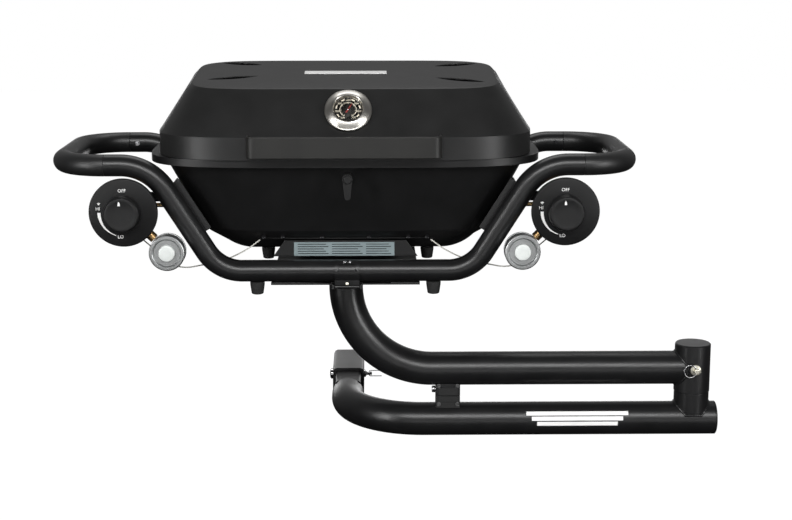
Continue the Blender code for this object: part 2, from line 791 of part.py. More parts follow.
def make_lid_latch(parent):
    profile = (
        (0.0090, 0.165),
        (0.0090, 0.2102),
        (0.0040, 0.2102),
        (0.0040, 0.2168),
        (0.0075, 0.2168),
        (0.0065, 0.2195),
    )
    place = (LATCH_X, 0, LATCH_LID_Z)
    boss = piece("latch_boss", turned(profile, 14, False, TO_FRONT), POWDER, parent, place)
    boolean(boss, "DIFFERENCE", loft(box_skin(GAP)), (0, 0, 0))
    axis = empty("latch_lever_axis", (LATCH_X, -0.2105, LATCH_LID_Z))
    axis.parent = parent
    outline = []
    for centre, radius, start in ((0.0, 0.0085, 0), (-0.0300, 0.0055, 180)):
        for i in range(7):
            a = math.radians(start + 30 * i)
            outline.append((radius * math.cos(a), centre + radius * math.sin(a)))
    lever = slab(outline, -0.0060, 0, lambda u, v, h: (u, h, v))
    lever = piece("latch_lever", lever, POWDER, axis)
    boolean(lever, "DIFFERENCE", turned(((0.0044, -0.01), (0.0044, 0.02)), 12, False, TO_FRONT))


# Lid ---------------------------------------------------------------------------------


def lid_skin(inset):
    """Rings of the lid's outside, or of its inside when inset by the wall."""
    rows = (
        (LID_HALF_X, LID_HALF_Y + 0.001, LID_BOTTOM, 4.0, 0.0, 0.0),
        (LID_HALF_X, LID_HALF_Y, LID_SHOULDER, 4.0, 0.0, 0.0),
        (LID_HALF_X - 0.004, LID_HALF_Y - 0.0035, LID_SHOULDER + 0.0055, 4.0, 0.0, 0.0),
        (LID_TOP_HALF_X + 0.006, LID_TOP_HALF_Y + 0.006, LID_TOP_Z - 0.010, 5.5, 0.002, LID_TOP_SLOPE),
        (LID_TOP_HALF_X - 0.002, LID_TOP_HALF_Y - 0.002, LID_TOP_Z - 0.002, 6.0, 0.002, LID_TOP_SLOPE),
        (LID_TOP_HALF_X - 0.012, LID_TOP_HALF_Y - 0.010, LID_TOP_Z, 6.0, 0.002, LID_TOP_SLOPE),
    )
    rings = []
    for a, b, z, power, centre_y, slope in rows:
        drop = inset if z > LID_BOTTOM else 0
        rings.append(pillow(a - inset, b - inset, z - drop, power, centre_y, slope))
    return rings


def make_lid(parent):
    """Every piece of the lid hangs from an empty on the hinge."""
    hinge = empty("lid_axis", (0, HINGE_Y, HINGE_Z))
    hinge.parent = parent
    back = (0, -HINGE_Y, -HINGE_Z)
    skins = lid_skin(0)[::-1] + lid_skin(LID_WALL)
    shell = piece("lid_shell", loft(skins), POWDER, hinge, back)
    for side in (-1, 1):
        x = side * LID_EAR_X
        ear = [
            (0.2036, 0.1935), (0.2230, 0.1935), (0.2230, 0.2070),
            (0.2120, 0.2250), (0.2036, 0.2250),
        ]
        boolean(shell, "UNION", slab(ear, x - EAR_HALF, x + EAR_HALF, lambda u, v, h: (h, u, v)))
        hole = turned(
            ((HINGE_ROD_R + 0.0006, x - 0.01), (HINGE_ROD_R + 0.0006, x + 0.01)),
            12, False, TO_SIDE, (0, HINGE_Y, HINGE_Z),
        )
        boolean(shell, "DIFFERENCE", hole)
    facing = Matrix.Rotation(-GAUGE_TILT, 4, "X") @ TO_FRONT
    probe = turned(((0.0055, -0.03), (0.0055, 0.03)), 12, False, facing, (GAUGE_X, GAUGE_Y, GAUGE_Z))
    boolean(shell, "DIFFERENCE", probe)
    make_lid_handle(hinge, back)
    make_gauge(hinge, back, facing)


def make_lid_handle(hinge, back):
    half, deep = LID_HANDLE_HALF_X, LID_HANDLE_Y
    low, high = LID_HANDLE_LOW, LID_HANDLE_HIGH
    skirt = -LID_HALF_Y - 0.0016
    route = rounded(
        [(-half, skirt, 0), (-half, deep, 0), (half, deep, 0), (half, skirt, 0)],
        [0.012, 0.012],
        5,
    )
    for point in route:
        point.z = (low + high) / 2
    tall = (high - low) / 2
    flat = [(-0.002, -tall), (0.002, -tall), (0.002, tall), (-0.002, tall)]
    piece("lid_handle", swept(route, (0, 0, 1), flat), POWDER, hinge, back)


def make_gauge(hinge, back, facing):
    """Thermometer: a cup with its probe through the lid, and a needle on a centre pin."""
    place = (GAUGE_X + back[0], GAUGE_Y + back[1], GAUGE_Z + back[2])
    profile = (
        (0.0045, -0.045),
        (0.0045, 0.0012),
        (0.0370, 0.0012),
        (GAUGE_R, 0.0040),
        (GAUGE_R, 0.0090),
        (0.0340, 0.0140),
        (0.0290, 0.0140),
        (0.0285, 0.0075),
    )
    piece("gauge_case", turned(profile, 32, False, facing), CHROME, hinge, place)
    outline = (
        (-0.0030, -0.0070), (0.0030, -0.0070), (0.0032, 0.0), (0.0006, 0.0230),
        (-0.0006, 0.0230), (-0.0032, 0.0),
    )
    needle = slab(outline, 0.0085, 0.0095, lambda u, v, h: (u, v, h))
    needle.transform(facing @ Matrix.Rotation(NEEDLE_TURN, 4, "Z"))
    piece("gauge_needle", needle, ((0.5, 0.02, 0.02), 0.5), hinge, place)


# Controls ----------------------------------------------------------------------------


def make_controls(parent):
    for side, name in ((-1, "left"), (1, "right")):
        make_bezel(side, name, parent)
        make_valve(side, name, parent)
        make_regulator(side, name, parent)


def make_bezel(side, name, parent):
    profile = (
        (0.0070, -BEZEL_BACK),
        (BEZEL_R - 0.001, -BEZEL_BACK),
        (BEZEL_R, -BEZEL_BACK + 0.001),
        (BEZEL_R, -BEZEL_FRONT - 0.002),
        (BEZEL_R - 0.002, -BEZEL_FRONT),
        (0.0070, -BEZEL_FRONT),
    )
    plate = turned(profile, 32, True, TO_FRONT)
    bezel = piece(f"bezel_{name}", plate, POWDER, parent, (side * CONTROL_X, 0, CONTROL_Z))
    near, far = -side * 0.028, -side * 0.034
    low, high = BEZEL_TAB_LOW, BEZEL_TAB_HIGH
    post = block((min(near, far), BEZEL_BACK - 0.002, low), (max(near, far), -0.1375, high))
    boolean(bezel, "UNION", post)
    tab_end = -side * 0.088
    low, high = low + 0.0005, high - 0.0005
    tab = block((min(far, tab_end), -0.1405, low), (max(far, tab_end), -0.1377, high))
    boolean(bezel, "UNION", tab)


def make_valve(side, name, parent):
    place = (side * CONTROL_X, 0, CONTROL_Z)
    body = (
        (0.0080, 0.1450),
        (0.0150, 0.1500),
        (0.0150, 0.1810),
        (0.0058, 0.1810),
        (0.0058, 0.1620),
    )
    piece(f"valve_{name}", turned(body, 16, False, TO_FRONT), BRASS, parent, place)
    stem = ((STEM_R, 0.1630), (STEM_R, 0.2040))
    piece(f"valve_stem_{name}", turned(stem, 12, False, TO_FRONT), STEEL, parent, place)
    knob = (
        (0.0052, 0.2085),
        (0.0052, 0.1970),
        (KNOB_R - 0.001, 0.1970),
        (KNOB_R, 0.1980),
        (KNOB_R - 0.0010, KNOB_FRONT - 0.0030),
        (KNOB_R - 0.0040, KNOB_FRONT),
    )
    bm = turned(knob, 32, False, TO_FRONT)
    piece(f"knob_{name}", bm, ((0.012, 0.012, 0.012), 0.6), parent, place)


def make_regulator(side, name, parent):
    profile = (
        (0.0120, 0.1480),
        (0.0120, 0.1560),
        (0.0220, 0.1570),
        (0.0300, 0.1620),
        (REGULATOR_R, 0.1640),
        (REGULATOR_R, 0.1920),
        (REGULATOR_R - 0.0020, 0.1945),
        (0.0250, 0.1945),
        (0.0225, 0.1915),
        (0.0145, 0.1915),
        (0.0140, 0.1950),
        (0.0125, 0.1960),
    )
    place = (side * REGULATOR_X, 0, REGULATOR_Z)
    piece(f"regulator_{name}", turned(profile, 24, False, TO_FRONT), ZINC, parent, place)
    start = Vector((side * REGULATOR_X, SUPPLY_Y, REGULATOR_Z))
    end = Vector((side * CONTROL_X, SUPPLY_Y, CONTROL_Z))
    length = (end - start).length
    stop = length - 0.0155
    fitting = (
        (0.0060, REGULATOR_R + 0.0006),
        (0.0085, REGULATOR_R + 0.0010),
        (0.0085, REGULATOR_R + 0.0130),
        (0.0050, REGULATOR_R + 0.0145),
        (0.0050, stop),
    )
    facing = (end - start).to_track_quat("Z", "Y").to_matrix().to_4x4()
    piece(f"brass_fitting_{name}", turned(fitting, 12, False, facing), BRASS, parent, start)
    supply = [
        (side * CONTROL_X, -0.1446, CONTROL_Z),
        (side * CONTROL_X, -0.120, CONTROL_Z),
        (side * 0.372, -0.086, 0.105),
        (side * 0.345, -0.064, 0.101),
        (side * 0.315, -BURNER_Y, BURNER_Z),
        (side * (BURNER_INLET_X + 0.0004), -BURNER_Y, BURNER_Z),
    ]
    wire(f"gas_tube_{name}", supply, GAS_TUBE_R, 0.016, BRASS, parent)
    wire(f"igniter_lead_{name}", lead_route(side), LEAD_R, 0.014, WIRE_SKIN, parent)


def lead_route(side):
    """From the valve, round behind the rail, to the electrode at the front of the box."""
    points = (
        (0.380, -0.1620, 0.0922),
        (0.378, -0.1560, 0.0790),
        (0.364, -0.1460, 0.0620),
        (0.344, -0.1400, 0.0430),
        (0.322, -0.1400, 0.0220),
        (0.303, -0.1440, 0.0080),
        (0.280, -0.1460, 0.0035),
        (0.256, -0.1390, 0.0055),
        (0.230, -0.1310, 0.0100),
        (0.200, -0.1310, 0.0190),
        (0.172, -0.1335, 0.0340),
        (0.150, -0.1350, 0.0500),
    )
    return [(side * x, y, z) for x, y, z in points]


def main():
    clear_scene()
    make_lower_arm()
    make_shank()
    make_hitch_pin()
    make_post()
    make_rest_block()
    make_upper_arm()
    make_arm_latch()
    make_lock_pin()
    grill = empty("grill_centre", (GRILL_X, ARM_Y, RAIL_Z))
    make_platform(grill)
    make_rails(grill)
    make_feet(grill)
    make_side_brackets(grill)
    make_rail_clamp(grill)
    make_firebox(grill)
    make_burners(grill)
    make_heat_tents(grill)
    make_grates(grill)
    make_grease_tray(grill)
    make_lid_latch(grill)
    make_lid(grill)
    make_controls(grill)


main()
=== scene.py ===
"""Surfaces, materials and studio for the swing-arm gas grill, in metres, +Z up."""

import json
import math

import bmesh
import bpy
from mathutils import Matrix, Vector


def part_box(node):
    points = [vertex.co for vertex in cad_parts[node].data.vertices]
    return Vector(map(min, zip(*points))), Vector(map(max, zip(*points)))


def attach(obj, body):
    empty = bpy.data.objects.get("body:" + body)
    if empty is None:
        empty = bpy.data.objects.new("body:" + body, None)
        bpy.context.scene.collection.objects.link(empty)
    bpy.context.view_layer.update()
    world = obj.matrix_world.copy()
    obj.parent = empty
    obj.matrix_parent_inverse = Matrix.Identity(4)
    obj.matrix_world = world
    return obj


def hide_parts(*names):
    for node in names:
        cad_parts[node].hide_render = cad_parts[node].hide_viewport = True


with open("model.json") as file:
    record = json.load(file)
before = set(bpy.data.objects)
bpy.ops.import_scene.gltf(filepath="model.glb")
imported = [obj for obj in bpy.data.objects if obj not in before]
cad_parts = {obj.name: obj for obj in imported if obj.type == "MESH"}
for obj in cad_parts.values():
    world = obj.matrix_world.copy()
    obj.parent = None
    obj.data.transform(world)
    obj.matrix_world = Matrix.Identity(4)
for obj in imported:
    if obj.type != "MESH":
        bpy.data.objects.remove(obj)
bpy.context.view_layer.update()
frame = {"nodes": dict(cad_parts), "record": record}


def corner(node, end):
    """A node's lowest corner at rest (end 0), or its highest (end 1)."""
    return Vector(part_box(node)[end])


# Places worked out from the frame -------------------------------------

RAIL_R = 0.01905
ARM_R = (corner("lower_arm", 1).z - corner("lower_arm", 0).z) / 2
ARM_Y = corner("pivot_spindle", 0).y / 2 + corner("pivot_spindle", 1).y / 2
PIVOT_X = corner("pivot_spindle", 0).x / 2 + corner("pivot_spindle", 1).x / 2
ARM_END = corner("lower_arm", 1).x
ARM_START = corner("lower_arm", 1).y
GRILL = Vector((corner("front_rail", 0).x / 2 + corner("front_rail", 1).x / 2, ARM_Y,
                corner("front_rail", 0).z + RAIL_R))
WORLD = Vector((0, 0, 0))

# Sizes shared with the frame's parts
GAP = 0.0003  # between pieces that touch
POST_R = 0.0325
POST_BOTTOM = 0.0115
PIVOT_R = 0.0333
UPPER_BEND = 0.160
LOWER_BEND = 0.145
ARM_RISE = 0.098
ARM_WALL = 0.004
SLEEVE_BORE_R = 0.0275
LOCK_PIN_HOLE_R = 0.0046
LOCK_RING_WIRE_R = 0.001
PIN_NECK_R = 0.0038
PIN_SHOULDER = 0.0350
RAIL_WALL = 0.002
RAIL_HALF_DEPTH = 0.160
RAIL_CORNER_LOW = 0.2205
RAIL_CORNER_HIGH = 0.3375
RAIL_BEND_LOW = 0.073
RAIL_BEND_HIGH = 0.090
HANDLE_Z = 0.186
HANDLE_SEAM = 0.414
HANDLE_REACH = 0.4965
HANDLE_BEND = 0.0815
RIM_HALF_X = 0.345
RIM_HALF_Y = 0.200
RIM_LOW = 0.186
RIM_TOP = 0.199
BOX_WALL = 0.003
BOX_RINGS = (  # half width, half depth and height of the cooking box's outside
    (0.160, 0.095, 0.0295),
    (0.209, 0.108, 0.033),
    (0.248, 0.142, 0.058),
    (0.256, 0.150, 0.068),
    (0.318, 0.186, 0.185),
)
DRAIN_R = 0.020
BURNER_Y = 0.060
BURNER_Z = 0.100
BURNER_INLET_X = 0.2904
BOX_EAR_X = 0.1475
EAR_HALF = 0.003
LID_WALL = 0.0025
LID_HALF_X = 0.3295
LID_HALF_Y = 0.207
LID_BOTTOM = 0.1996
LID_SHOULDER = 0.238
LID_TOP_HALF_X = 0.272
LID_TOP_HALF_Y = 0.148
LID_TOP_Z = 0.330
LID_TOP_SLOPE = 0.089
HINGE_Y = 0.2165
HINGE_Z = 0.199
HINGE_ROD_R = 0.0035
LID_EAR_X = 0.1560
LID_HANDLE_HALF_X = 0.163
LID_HANDLE_Y = -0.240
LID_HANDLE_LOW = 0.207
LID_HANDLE_HIGH = 0.244
GAUGE = Vector((0.0065, -0.1755, 0.2790))
GAUGE_TILT = math.radians(37)  # lid front from upright
NEEDLE_TURN = math.radians(-30)
CONTROL_X = 0.380
CONTROL_Z = 0.108
BEZEL_R = 0.059
BEZEL_FRONT = 0.192
BEZEL_BACK = 0.182
BEZEL_TAB_LOW = 0.011  # above the bezel's middle
BEZEL_TAB_HIGH = 0.029
KNOB_R = 0.0315
REGULATOR_X = 0.307
REGULATOR_Z = 0.0375
REGULATOR_R = 0.031
GAS_TUBE_R = 0.004
LEAD_R = 0.0012  # half the diameter that make_lead declares

# Sizes of finer details
PRINT = 0.00012  # thickness of ink and decals
LABEL_FACE = -0.1370  # front of the grease tray, from the grill's centre
LABEL_THICK = 0.0004
DIAL_SWEEP = 300  # degrees from the gauge's lowest mark to its highest
DIAL_START = 240  # degrees from +X to the lowest mark
KNOB_FLUTES = 36
WELD_PITCH = 0.0035  # from ripple to ripple
PILLOW_POINTS = 160  # round each ring of the lid and the cooking box
SADDLE_POINTS = 120  # round the weld where two tubes meet
CURVE_STEPS = 10  # between two given points of a lead or gas tube
GROOVE_STEPS = 14  # along each side of a groove in the lid

TO_FRONT = Matrix.Rotation(math.pi / 2, 4, "X")  # turns +Z to -Y
TO_SIDE = Matrix.Rotation(math.pi / 2, 4, "Y")  # turns +Z to +X


# Materials ------------------------------------------------------------


def ramp(nodes, links, source, start, end, low, high):
    """A value that climbs from low to high as its source goes from start to end."""
    made = nodes.new("ShaderNodeMapRange")
    made.inputs["From Min"].default_value = start
    made.inputs["From Max"].default_value = end
    made.inputs["To Min"].default_value = low
    made.inputs["To Max"].default_value = high
    links.new(source, made.inputs["Value"])
    return made.outputs["Result"]


def noise(nodes, links, name, scale, detail):
    """Noise in the object's own space."""
    made = nodes.new("ShaderNodeTexNoise")
    made.name = name
    made.inputs["Scale"].default_value = scale
    made.inputs["Detail"].default_value = detail
    links.new(nodes["where"].outputs["Object"], made.inputs["Vector"])
    return made


def coat(
    name, colour, roughness, metallic=0.0, grain=900, height=0.00004, vary=0.06, tint=0.12,
    specular=0.5,
):
    """A finish with fine grain in its bump, and broader changes in its colour and gloss."""
    made = bpy.data.materials.new(name)
    made.use_nodes = True
    nodes, links = made.node_tree.nodes, made.node_tree.links
    shader = nodes["Principled BSDF"]
    shader.inputs["Metallic"].default_value = metallic
    shader.inputs["Specular IOR Level"].default_value = specular
    nodes.new("ShaderNodeTexCoord").name = "where"

    fine = noise(nodes, links, "fine", grain, 3)
    bump = nodes.new("ShaderNodeBump")
    bump.inputs["Distance"].default_value = height
    links.new(fine.outputs["Fac"], bump.inputs["Height"])
    links.new(bump.outputs["Normal"], shader.inputs["Normal"])

    broad = noise(nodes, links, "broad", 22, 5)
    gloss = ramp(nodes, links, broad.outputs["Fac"], 0, 1, roughness - vary, roughness + vary)
    links.new(gloss, shader.inputs["Roughness"])
    shades = nodes.new("ShaderNodeValToRGB")
    dark, light = shades.color_ramp.elements
    dark.position, light.position = 0.3, 0.7
    dark.color = (*(c * (1 - tint) for c in colour), 1)
    light.color = (*(min(c * (1 + tint), 1) for c in colour), 1)
    links.new(broad.outputs["Fac"], shades.inputs["Fac"])
    links.new(shades.outputs["Color"], shader.inputs["Base Color"])
    return made


def brushed(name, colour, roughness, stretch):
    """Metal with fine scratches, drawn out along the axis whose stretch is small."""
    made = coat(name, colour, roughness, 1.0)
    nodes, links = made.node_tree.nodes, made.node_tree.links
    mapping = nodes.new("ShaderNodeMapping")
    mapping.inputs["Scale"].default_value = stretch
    links.new(nodes["where"].outputs["Object"], mapping.inputs["Vector"])
    links.new(mapping.outputs["Vector"], nodes["fine"].inputs["Vector"])
    return made


def glass(name):
    """Clear glass without refraction, with a faint reflection that grows towards its edge."""
    made = bpy.data.materials.new(name)
    made.use_nodes = True
    nodes, links = made.node_tree.nodes, made.node_tree.links
    nodes.remove(nodes["Principled BSDF"])
    clear = nodes.new("ShaderNodeBsdfTransparent")
    shine = nodes.new("ShaderNodeBsdfGlossy")
    shine.inputs["Roughness"].default_value = 0.04
    edge = nodes.new("ShaderNodeFresnel")
    edge.inputs["IOR"].default_value = 1.12
    mix = nodes.new("ShaderNodeMixShader")
    links.new(edge.outputs["Fac"], mix.inputs["Fac"])
    links.new(clear.outputs["BSDF"], mix.inputs[1])
    links.new(shine.outputs["BSDF"], mix.inputs[2])
    links.new(mix.outputs["Shader"], nodes["Material Output"].inputs["Surface"])
    return made


POWDER = coat("satin_powder_coat", (0.0080, 0.0080, 0.0084), 0.33, grain=1500, height=0.00003)
LID = coat(
    "lid_enamel", (0.0120, 0.0120, 0.0120), 0.40, grain=1800, height=0.00002, vary=0.04,
    specular=0.34,
)
STRAP = coat(
    "strap_enamel", (0.0130, 0.0128, 0.0118), 0.50, grain=1200, height=0.00005, specular=0.40,
)
BOX = coat("box_enamel", (0.0050, 0.0050, 0.0052), 0.42, grain=1600, height=0.00003, specular=0.38)
GRIP = coat("handle_grip", (0.0100, 0.0100, 0.0102), 0.40, grain=700, height=0.00016)
RUBBER = coat("foot_rubber", (0.0080, 0.0080, 0.0080), 0.78, grain=500, height=0.00012)
PLASTIC = coat(
    "control_plastic", (0.0045, 0.0045, 0.0048), 0.48, grain=1100, height=0.00005, specular=0.25,
)
KNOB = coat(
    "knob_plastic", (0.0070, 0.0070, 0.0072), 0.36, grain=700, height=0.00006, specular=0.40,
)
STEEL = brushed("bright_steel", (0.55, 0.55, 0.56), 0.28, (1, 1, 0.05))
CHROME = brushed("chrome_trim", (0.78, 0.78, 0.79), 0.10, (1, 1, 0.3))
GAUGE_RIM = coat("gauge_rim", (0.60, 0.58, 0.54), 0.31, 1.0, grain=400, height=0.00001, vary=0.03)
PIN = coat("pin_zinc", (0.78, 0.75, 0.64), 0.36, 0.85, height=0.00003)
ZINC = coat("zinc_cast", (0.42, 0.43, 0.43), 0.42, 1.0, height=0.00002, vary=0.05)
PALE_CAP = coat("regulator_cap", (0.70, 0.73, 0.71), 0.45, 0.1, grain=600, height=0.00004)
BRASS = brushed("brass", (0.40, 0.26, 0.12), 0.36, (1, 1, 0.1))
IRON = coat("cast_iron", (0.020, 0.019, 0.018), 0.62, 0.4, grain=300, height=0.00030, vary=0.10)
SKIN = coat("lead_insulation", (0.50, 0.49, 0.45), 0.50, grain=800)
RED = coat("needle_red", (0.30, 0.045, 0.040), 0.45)
SHADOW = coat("groove_shadow", (0.0020, 0.0020, 0.0020), 0.90, specular=0.0)
DIAL = coat("dial_black", (0.0045, 0.0040, 0.0038), 0.60, specular=0.1)
INK = coat("white_ink", (0.90, 0.90, 0.89), 0.50, tint=0.03)
CREAM = coat("cream_ink", (0.78, 0.72, 0.58), 0.50, tint=0.05)
LABEL = coat("label_paper", (0.18, 0.225, 0.235), 0.34, tint=0.06)
DULL_STEEL = coat("dull_bolt", (0.20, 0.20, 0.20), 0.40, 1.0, height=0.00003)
DARK_BOLT = coat("black_oxide", (0.030, 0.030, 0.032), 0.35, 0.8)
LENS = glass("gauge_glass")

LOOKS = {
    "powder_coat": POWDER, "handle_coat": GRIP, "box_enamel": BOX, "lid_enamel": LID,
    "foot_rubber": RUBBER, "control_plastic": PLASTIC, "bright_steel": STEEL,
    "chrome_trim": CHROME, "zinc_cast": ZINC, "brass": BRASS, "cast_iron": IRON,
    "lead_insulation": SKIN, "needle_red": RED,
}


# Mesh helpers ---------------------------------------------------------


def loft(rings, around=False):
    """Joins rings of equally many points. The ends are capped, or joined when it goes around."""
    bm = bmesh.new()
    rows = [[bm.verts.new(p) for p in ring] for ring in rings]
    pairs = list(zip(rows, rows[1:]))
    if around:
        pairs.append((rows[-1], rows[0]))
    else:
        bm.faces.new(rows[0])
        bm.faces.new(rows[-1])
    for low, high in pairs:
        for i in range(len(low)):
            j = (i + 1) % len(low)
            bm.faces.new((low[i], low[j], high[j], high[i]))
    return bm


def circle(radius, z, sides):
    """Points evenly round a circle in a level plane."""
    steps = [2 * math.pi * i / sides for i in range(sides)]
    return [(radius * math.cos(a), radius * math.sin(a), z) for a in steps]


def turned(profile, sides, around=False, facing=None, at=WORLD):
    """A turned piece from (radius, height) points about +Z, or about another direction."""
    bm = loft([circle(r, z, sides) for r, z in profile], around)
    bm.transform(Matrix.Translation(at) @ (facing or Matrix.Identity(4)))
    return bm


def rounded(points, radii, steps=20):
    """A path through points whose inner corners are arcs of the given radii."""
    points = [Vector(p) for p in points]
    path = [points[0]]
    for before, bend, after, radius in zip(points, points[1:], points[2:], radii):
        back = (before - bend).normalized()
        ahead = (after - bend).normalized()
        half = back.angle(ahead) / 2
        centre = bend + (back + ahead).normalized() * radius / math.sin(half)
        start = bend + back * radius / math.tan(half) - centre
        end = bend + ahead * radius / math.tan(half) - centre
        turn = start.angle(end)
        for i in range(steps + 1):
            t = i / steps
            arc = start * math.sin((1 - t) * turn) + end * math.sin(t * turn)
            path.append(centre + arc / math.sin(turn))
    path.append(points[-1])
    return path


def swept(path, normal, profile, inner=None):
    """Pulls a profile along a flat path. normal stands square to the plane of the path."""
    normal = Vector(normal)
    steps = [(b - a).normalized() for a, b in zip(path, path[1:])]
    outside, inside = [], []
    for i, point in enumerate(path):
        before = steps[max(i - 1, 0)]
        after = steps[min(i, len(steps) - 1)]
        along = (before + after).normalized()
        side = normal.cross(along) / along.dot(after)
        outside.append([point + side * u + normal * v for u, v in profile])
        if inner:
            inside.append([point + side * u + normal * v for u, v in inner])
    return loft(outside + inside[::-1], True) if inner else loft(outside)


def tube(path, normal, radius, wall, sides):
    """A round tube along a flat path, or a solid bar when it has no wall."""
    outer = [point[:2] for point in circle(radius, 0, sides)]
    inner = [point[:2] for point in circle(radius - wall, 0, sides)] if wall else None
    return swept(path, normal, outer, inner)


def block(low, high):
    """A box between its lowest and highest corners."""
    bm = bmesh.new()
    bmesh.ops.create_cube(bm, size=1)
    low, high = Vector(low), Vector(high)
    size = Matrix.Diagonal((*(high - low), 1))
    bm.transform(Matrix.Translation((low + high) / 2) @ size)
    return bm


def slab(outline, low, high, place):
    """An outline made solid between two heights. place turns (u, v, height) into a point."""
    return loft([[place(u, v, h) for u, v in outline] for h in (low, high)])


def joined(*parts):
    """One bmesh that holds all of them."""
    whole = bmesh.new()
    for part in parts:
        mesh = bpy.data.meshes.new("part")
        part.to_mesh(mesh)
        part.free()
        whole.from_mesh(mesh)
        bpy.data.meshes.remove(mesh)
    return whole


def pillow(half_x, half_y, height, power=4.0, centre_y=0.0, slope=0.0):
    """A ring shaped as a rectangle with bowed sides and soft corners."""
    points = []
    for i in range(PILLOW_POINTS):
        a = 2 * math.pi * (i + 0.5) / PILLOW_POINTS
        c, s = math.cos(a), math.sin(a)
        reach = (abs(c) ** power + abs(s) ** power) ** (-1 / power)
        x, y = half_x * c * reach, half_y * s * reach + centre_y
        points.append((x, y, height + slope * y))
    return points


def placed(name, data):
    """A new object in the scene."""
    made = bpy.data.objects.new(name, data)
    bpy.context.scene.collection.objects.link(made)
    return made


def show(name, bm, look, body, stands_for=(), at=WORLD, bevel=0.0, sharp=28, cutters=()):
    """Makes a piece: cut, bevelled and shaded, riding on its body."""
    bmesh.ops.recalc_face_normals(bm, faces=bm.faces)
    bm.transform(Matrix.Translation(at))
    mesh = bpy.data.meshes.new(name)
    bm.to_mesh(mesh)
    bm.free()
    made = placed(name, mesh)
    if cutters:
        carve(made, cutters, at)
    made.data.shade_smooth()
    made.data.materials.clear()
    made.data.materials.append(look)
    if bevel:
        soften(made, bevel, sharp)
    else:
        made.data.set_sharp_from_angle(angle=math.radians(sharp))
    claim(made, body, stands_for)


def claim(made, body, stands_for):
    """Rides a piece on its body, and hides the nodes that it stands for."""
    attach(made, body)
    if stands_for:
        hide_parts(*stands_for)


def carve(made, cutters, at):
    """Cuts each helper shape out of the piece, then removes the helpers."""
    helpers = []
    for bm in cutters:
        bmesh.ops.recalc_face_normals(bm, faces=bm.faces)
        bm.transform(Matrix.Translation(at))
        mesh = bpy.data.meshes.new("cutter")
        bm.to_mesh(mesh)
        bm.free()
        helper = placed("cutter", mesh)
        helpers.append(helper)
        cut = made.modifiers.new("cut", "BOOLEAN")
        cut.operation = "DIFFERENCE"
        cut.object = helper
    graph = bpy.context.evaluated_depsgraph_get()
    result = bpy.data.meshes.new_from_object(made.evaluated_get(graph))
    made.modifiers.clear()
    made.data = result
    for helper in helpers:
        bpy.data.objects.remove(helper, do_unlink=True)


def soften(made, width, sharp):
    """Rounds the edges that turn by more than an angle in degrees."""
    bevel = made.modifiers.new("soft_edges", "BEVEL")
    bevel.width = width
    bevel.segments = 3
    bevel.limit_method = "ANGLE"
    bevel.angle_limit = math.radians(sharp)
    bevel.harden_normals = True


def wire(name, points, radius, look, body, stands_for):
    """A round lead or pipe on one smooth curve through given points."""
    curve = bpy.data.curves.new(name, "CURVE")
    curve.dimensions = "3D"
    curve.bevel_depth = radius
    curve.bevel_resolution = 4
    curve.use_fill_caps = True
    spline = curve.splines.new("POLY")
    spline.points.add(len(points) - 1)
    for point, place in zip(spline.points, points):
        point.co = (*place, 1)
    curve.materials.append(look)
    made = placed(name, curve)
    claim(made, body, stands_for)
    return made


def smooth_route(points):
    """Catmull-Rom points through given ones."""
    points = [Vector(p) for p in points]
    padded = [2 * points[0] - points[1], *points, 2 * points[-1] - points[-2]]
    fine = []
    for a, b, c, d in zip(padded, padded[1:], padded[2:], padded[3:]):
        for i in range(CURVE_STEPS):
            t = i / CURVE_STEPS
            fine.append(
                0.5 * (2 * b + (c - a) * t + (2 * a - 5 * b + 4 * c - d) * t**2
                       + (3 * b - a - 3 * c + d) * t**3)
            )
    fine.append(points[-1])
    return fine


def lettering(words, size, middle):
    """Flat letters of Blender's own font in the XY plane, as a bmesh."""
    curve = bpy.data.curves.new("letters", "FONT")
    curve.body = words
    curve.size = size
    curve.extrude = PRINT / 2
    curve.align_x = "CENTER"
    curve.align_y = "CENTER"
    holder = placed("letters", curve)
    graph = bpy.context.evaluated_depsgraph_get()
    mesh = bpy.data.meshes.new_from_object(holder.evaluated_get(graph))
    bm = bmesh.new()
    bm.from_mesh(mesh)
    bpy.data.objects.remove(holder, do_unlink=True)
    bpy.data.meshes.remove(mesh)
    bm.transform(Matrix.Translation(middle))
    return bm


def band(radius, start, end, wide_start, wide_end, steps=40):
    """A flat arc in the XY plane whose width changes along it. Angles are in degrees."""
    outline = []
    for way in (1, -1):
        for i in range(steps + 1):
            t = i / steps if way == 1 else 1 - i / steps
            a = math.radians(start + (end - start) * t)
            r = radius + way * (wide_start + (wide_end - wide_start) * t) / 2
            outline.append((r * math.cos(a), r * math.sin(a)))
    return slab(outline, -PRINT / 2, PRINT / 2, lambda u, v, h: (u, v, h))


def weld_bead(points, radius, ripple=0.25, sides=10):
    """A closed bead of weld metal along a loop of points, with its ripples."""
    count = len(points)
    rings, walked = [], 0.0
    for i, point in enumerate(points):
        ahead = (points[(i + 1) % count] - points[i - 1]).normalized()
        out = ahead.orthogonal() if i == 0 else out - ahead * out.dot(ahead)
        out.normalize()
        up = ahead.cross(out)
        walked += (point - points[i - 1]).length if i else 0.0
        r = radius * (1 + ripple * abs(math.sin(math.pi * walked / WELD_PITCH)) - ripple / 2)
        steps = [2 * math.pi * k / sides for k in range(sides)]
        rings.append([point + (out * math.cos(b) + up * math.sin(b)) * r for b in steps])
    return loft(rings, True)


def bolt_head(across, height, facing, at):
    """A hexagon head on a washer, with a softened top."""
    r = across / 2 / math.cos(math.pi / 6)
    head = turned(((r, 0.0008), (r, height * 0.8), (r * 0.86, height)), 6, False, facing, at)
    washer = turned(((r * 1.25, 0), (r * 1.25, 0.0008)), 32, False, facing, at)
    return joined(washer, head)


# Hitch end, lower arm and post ----------------------------------------


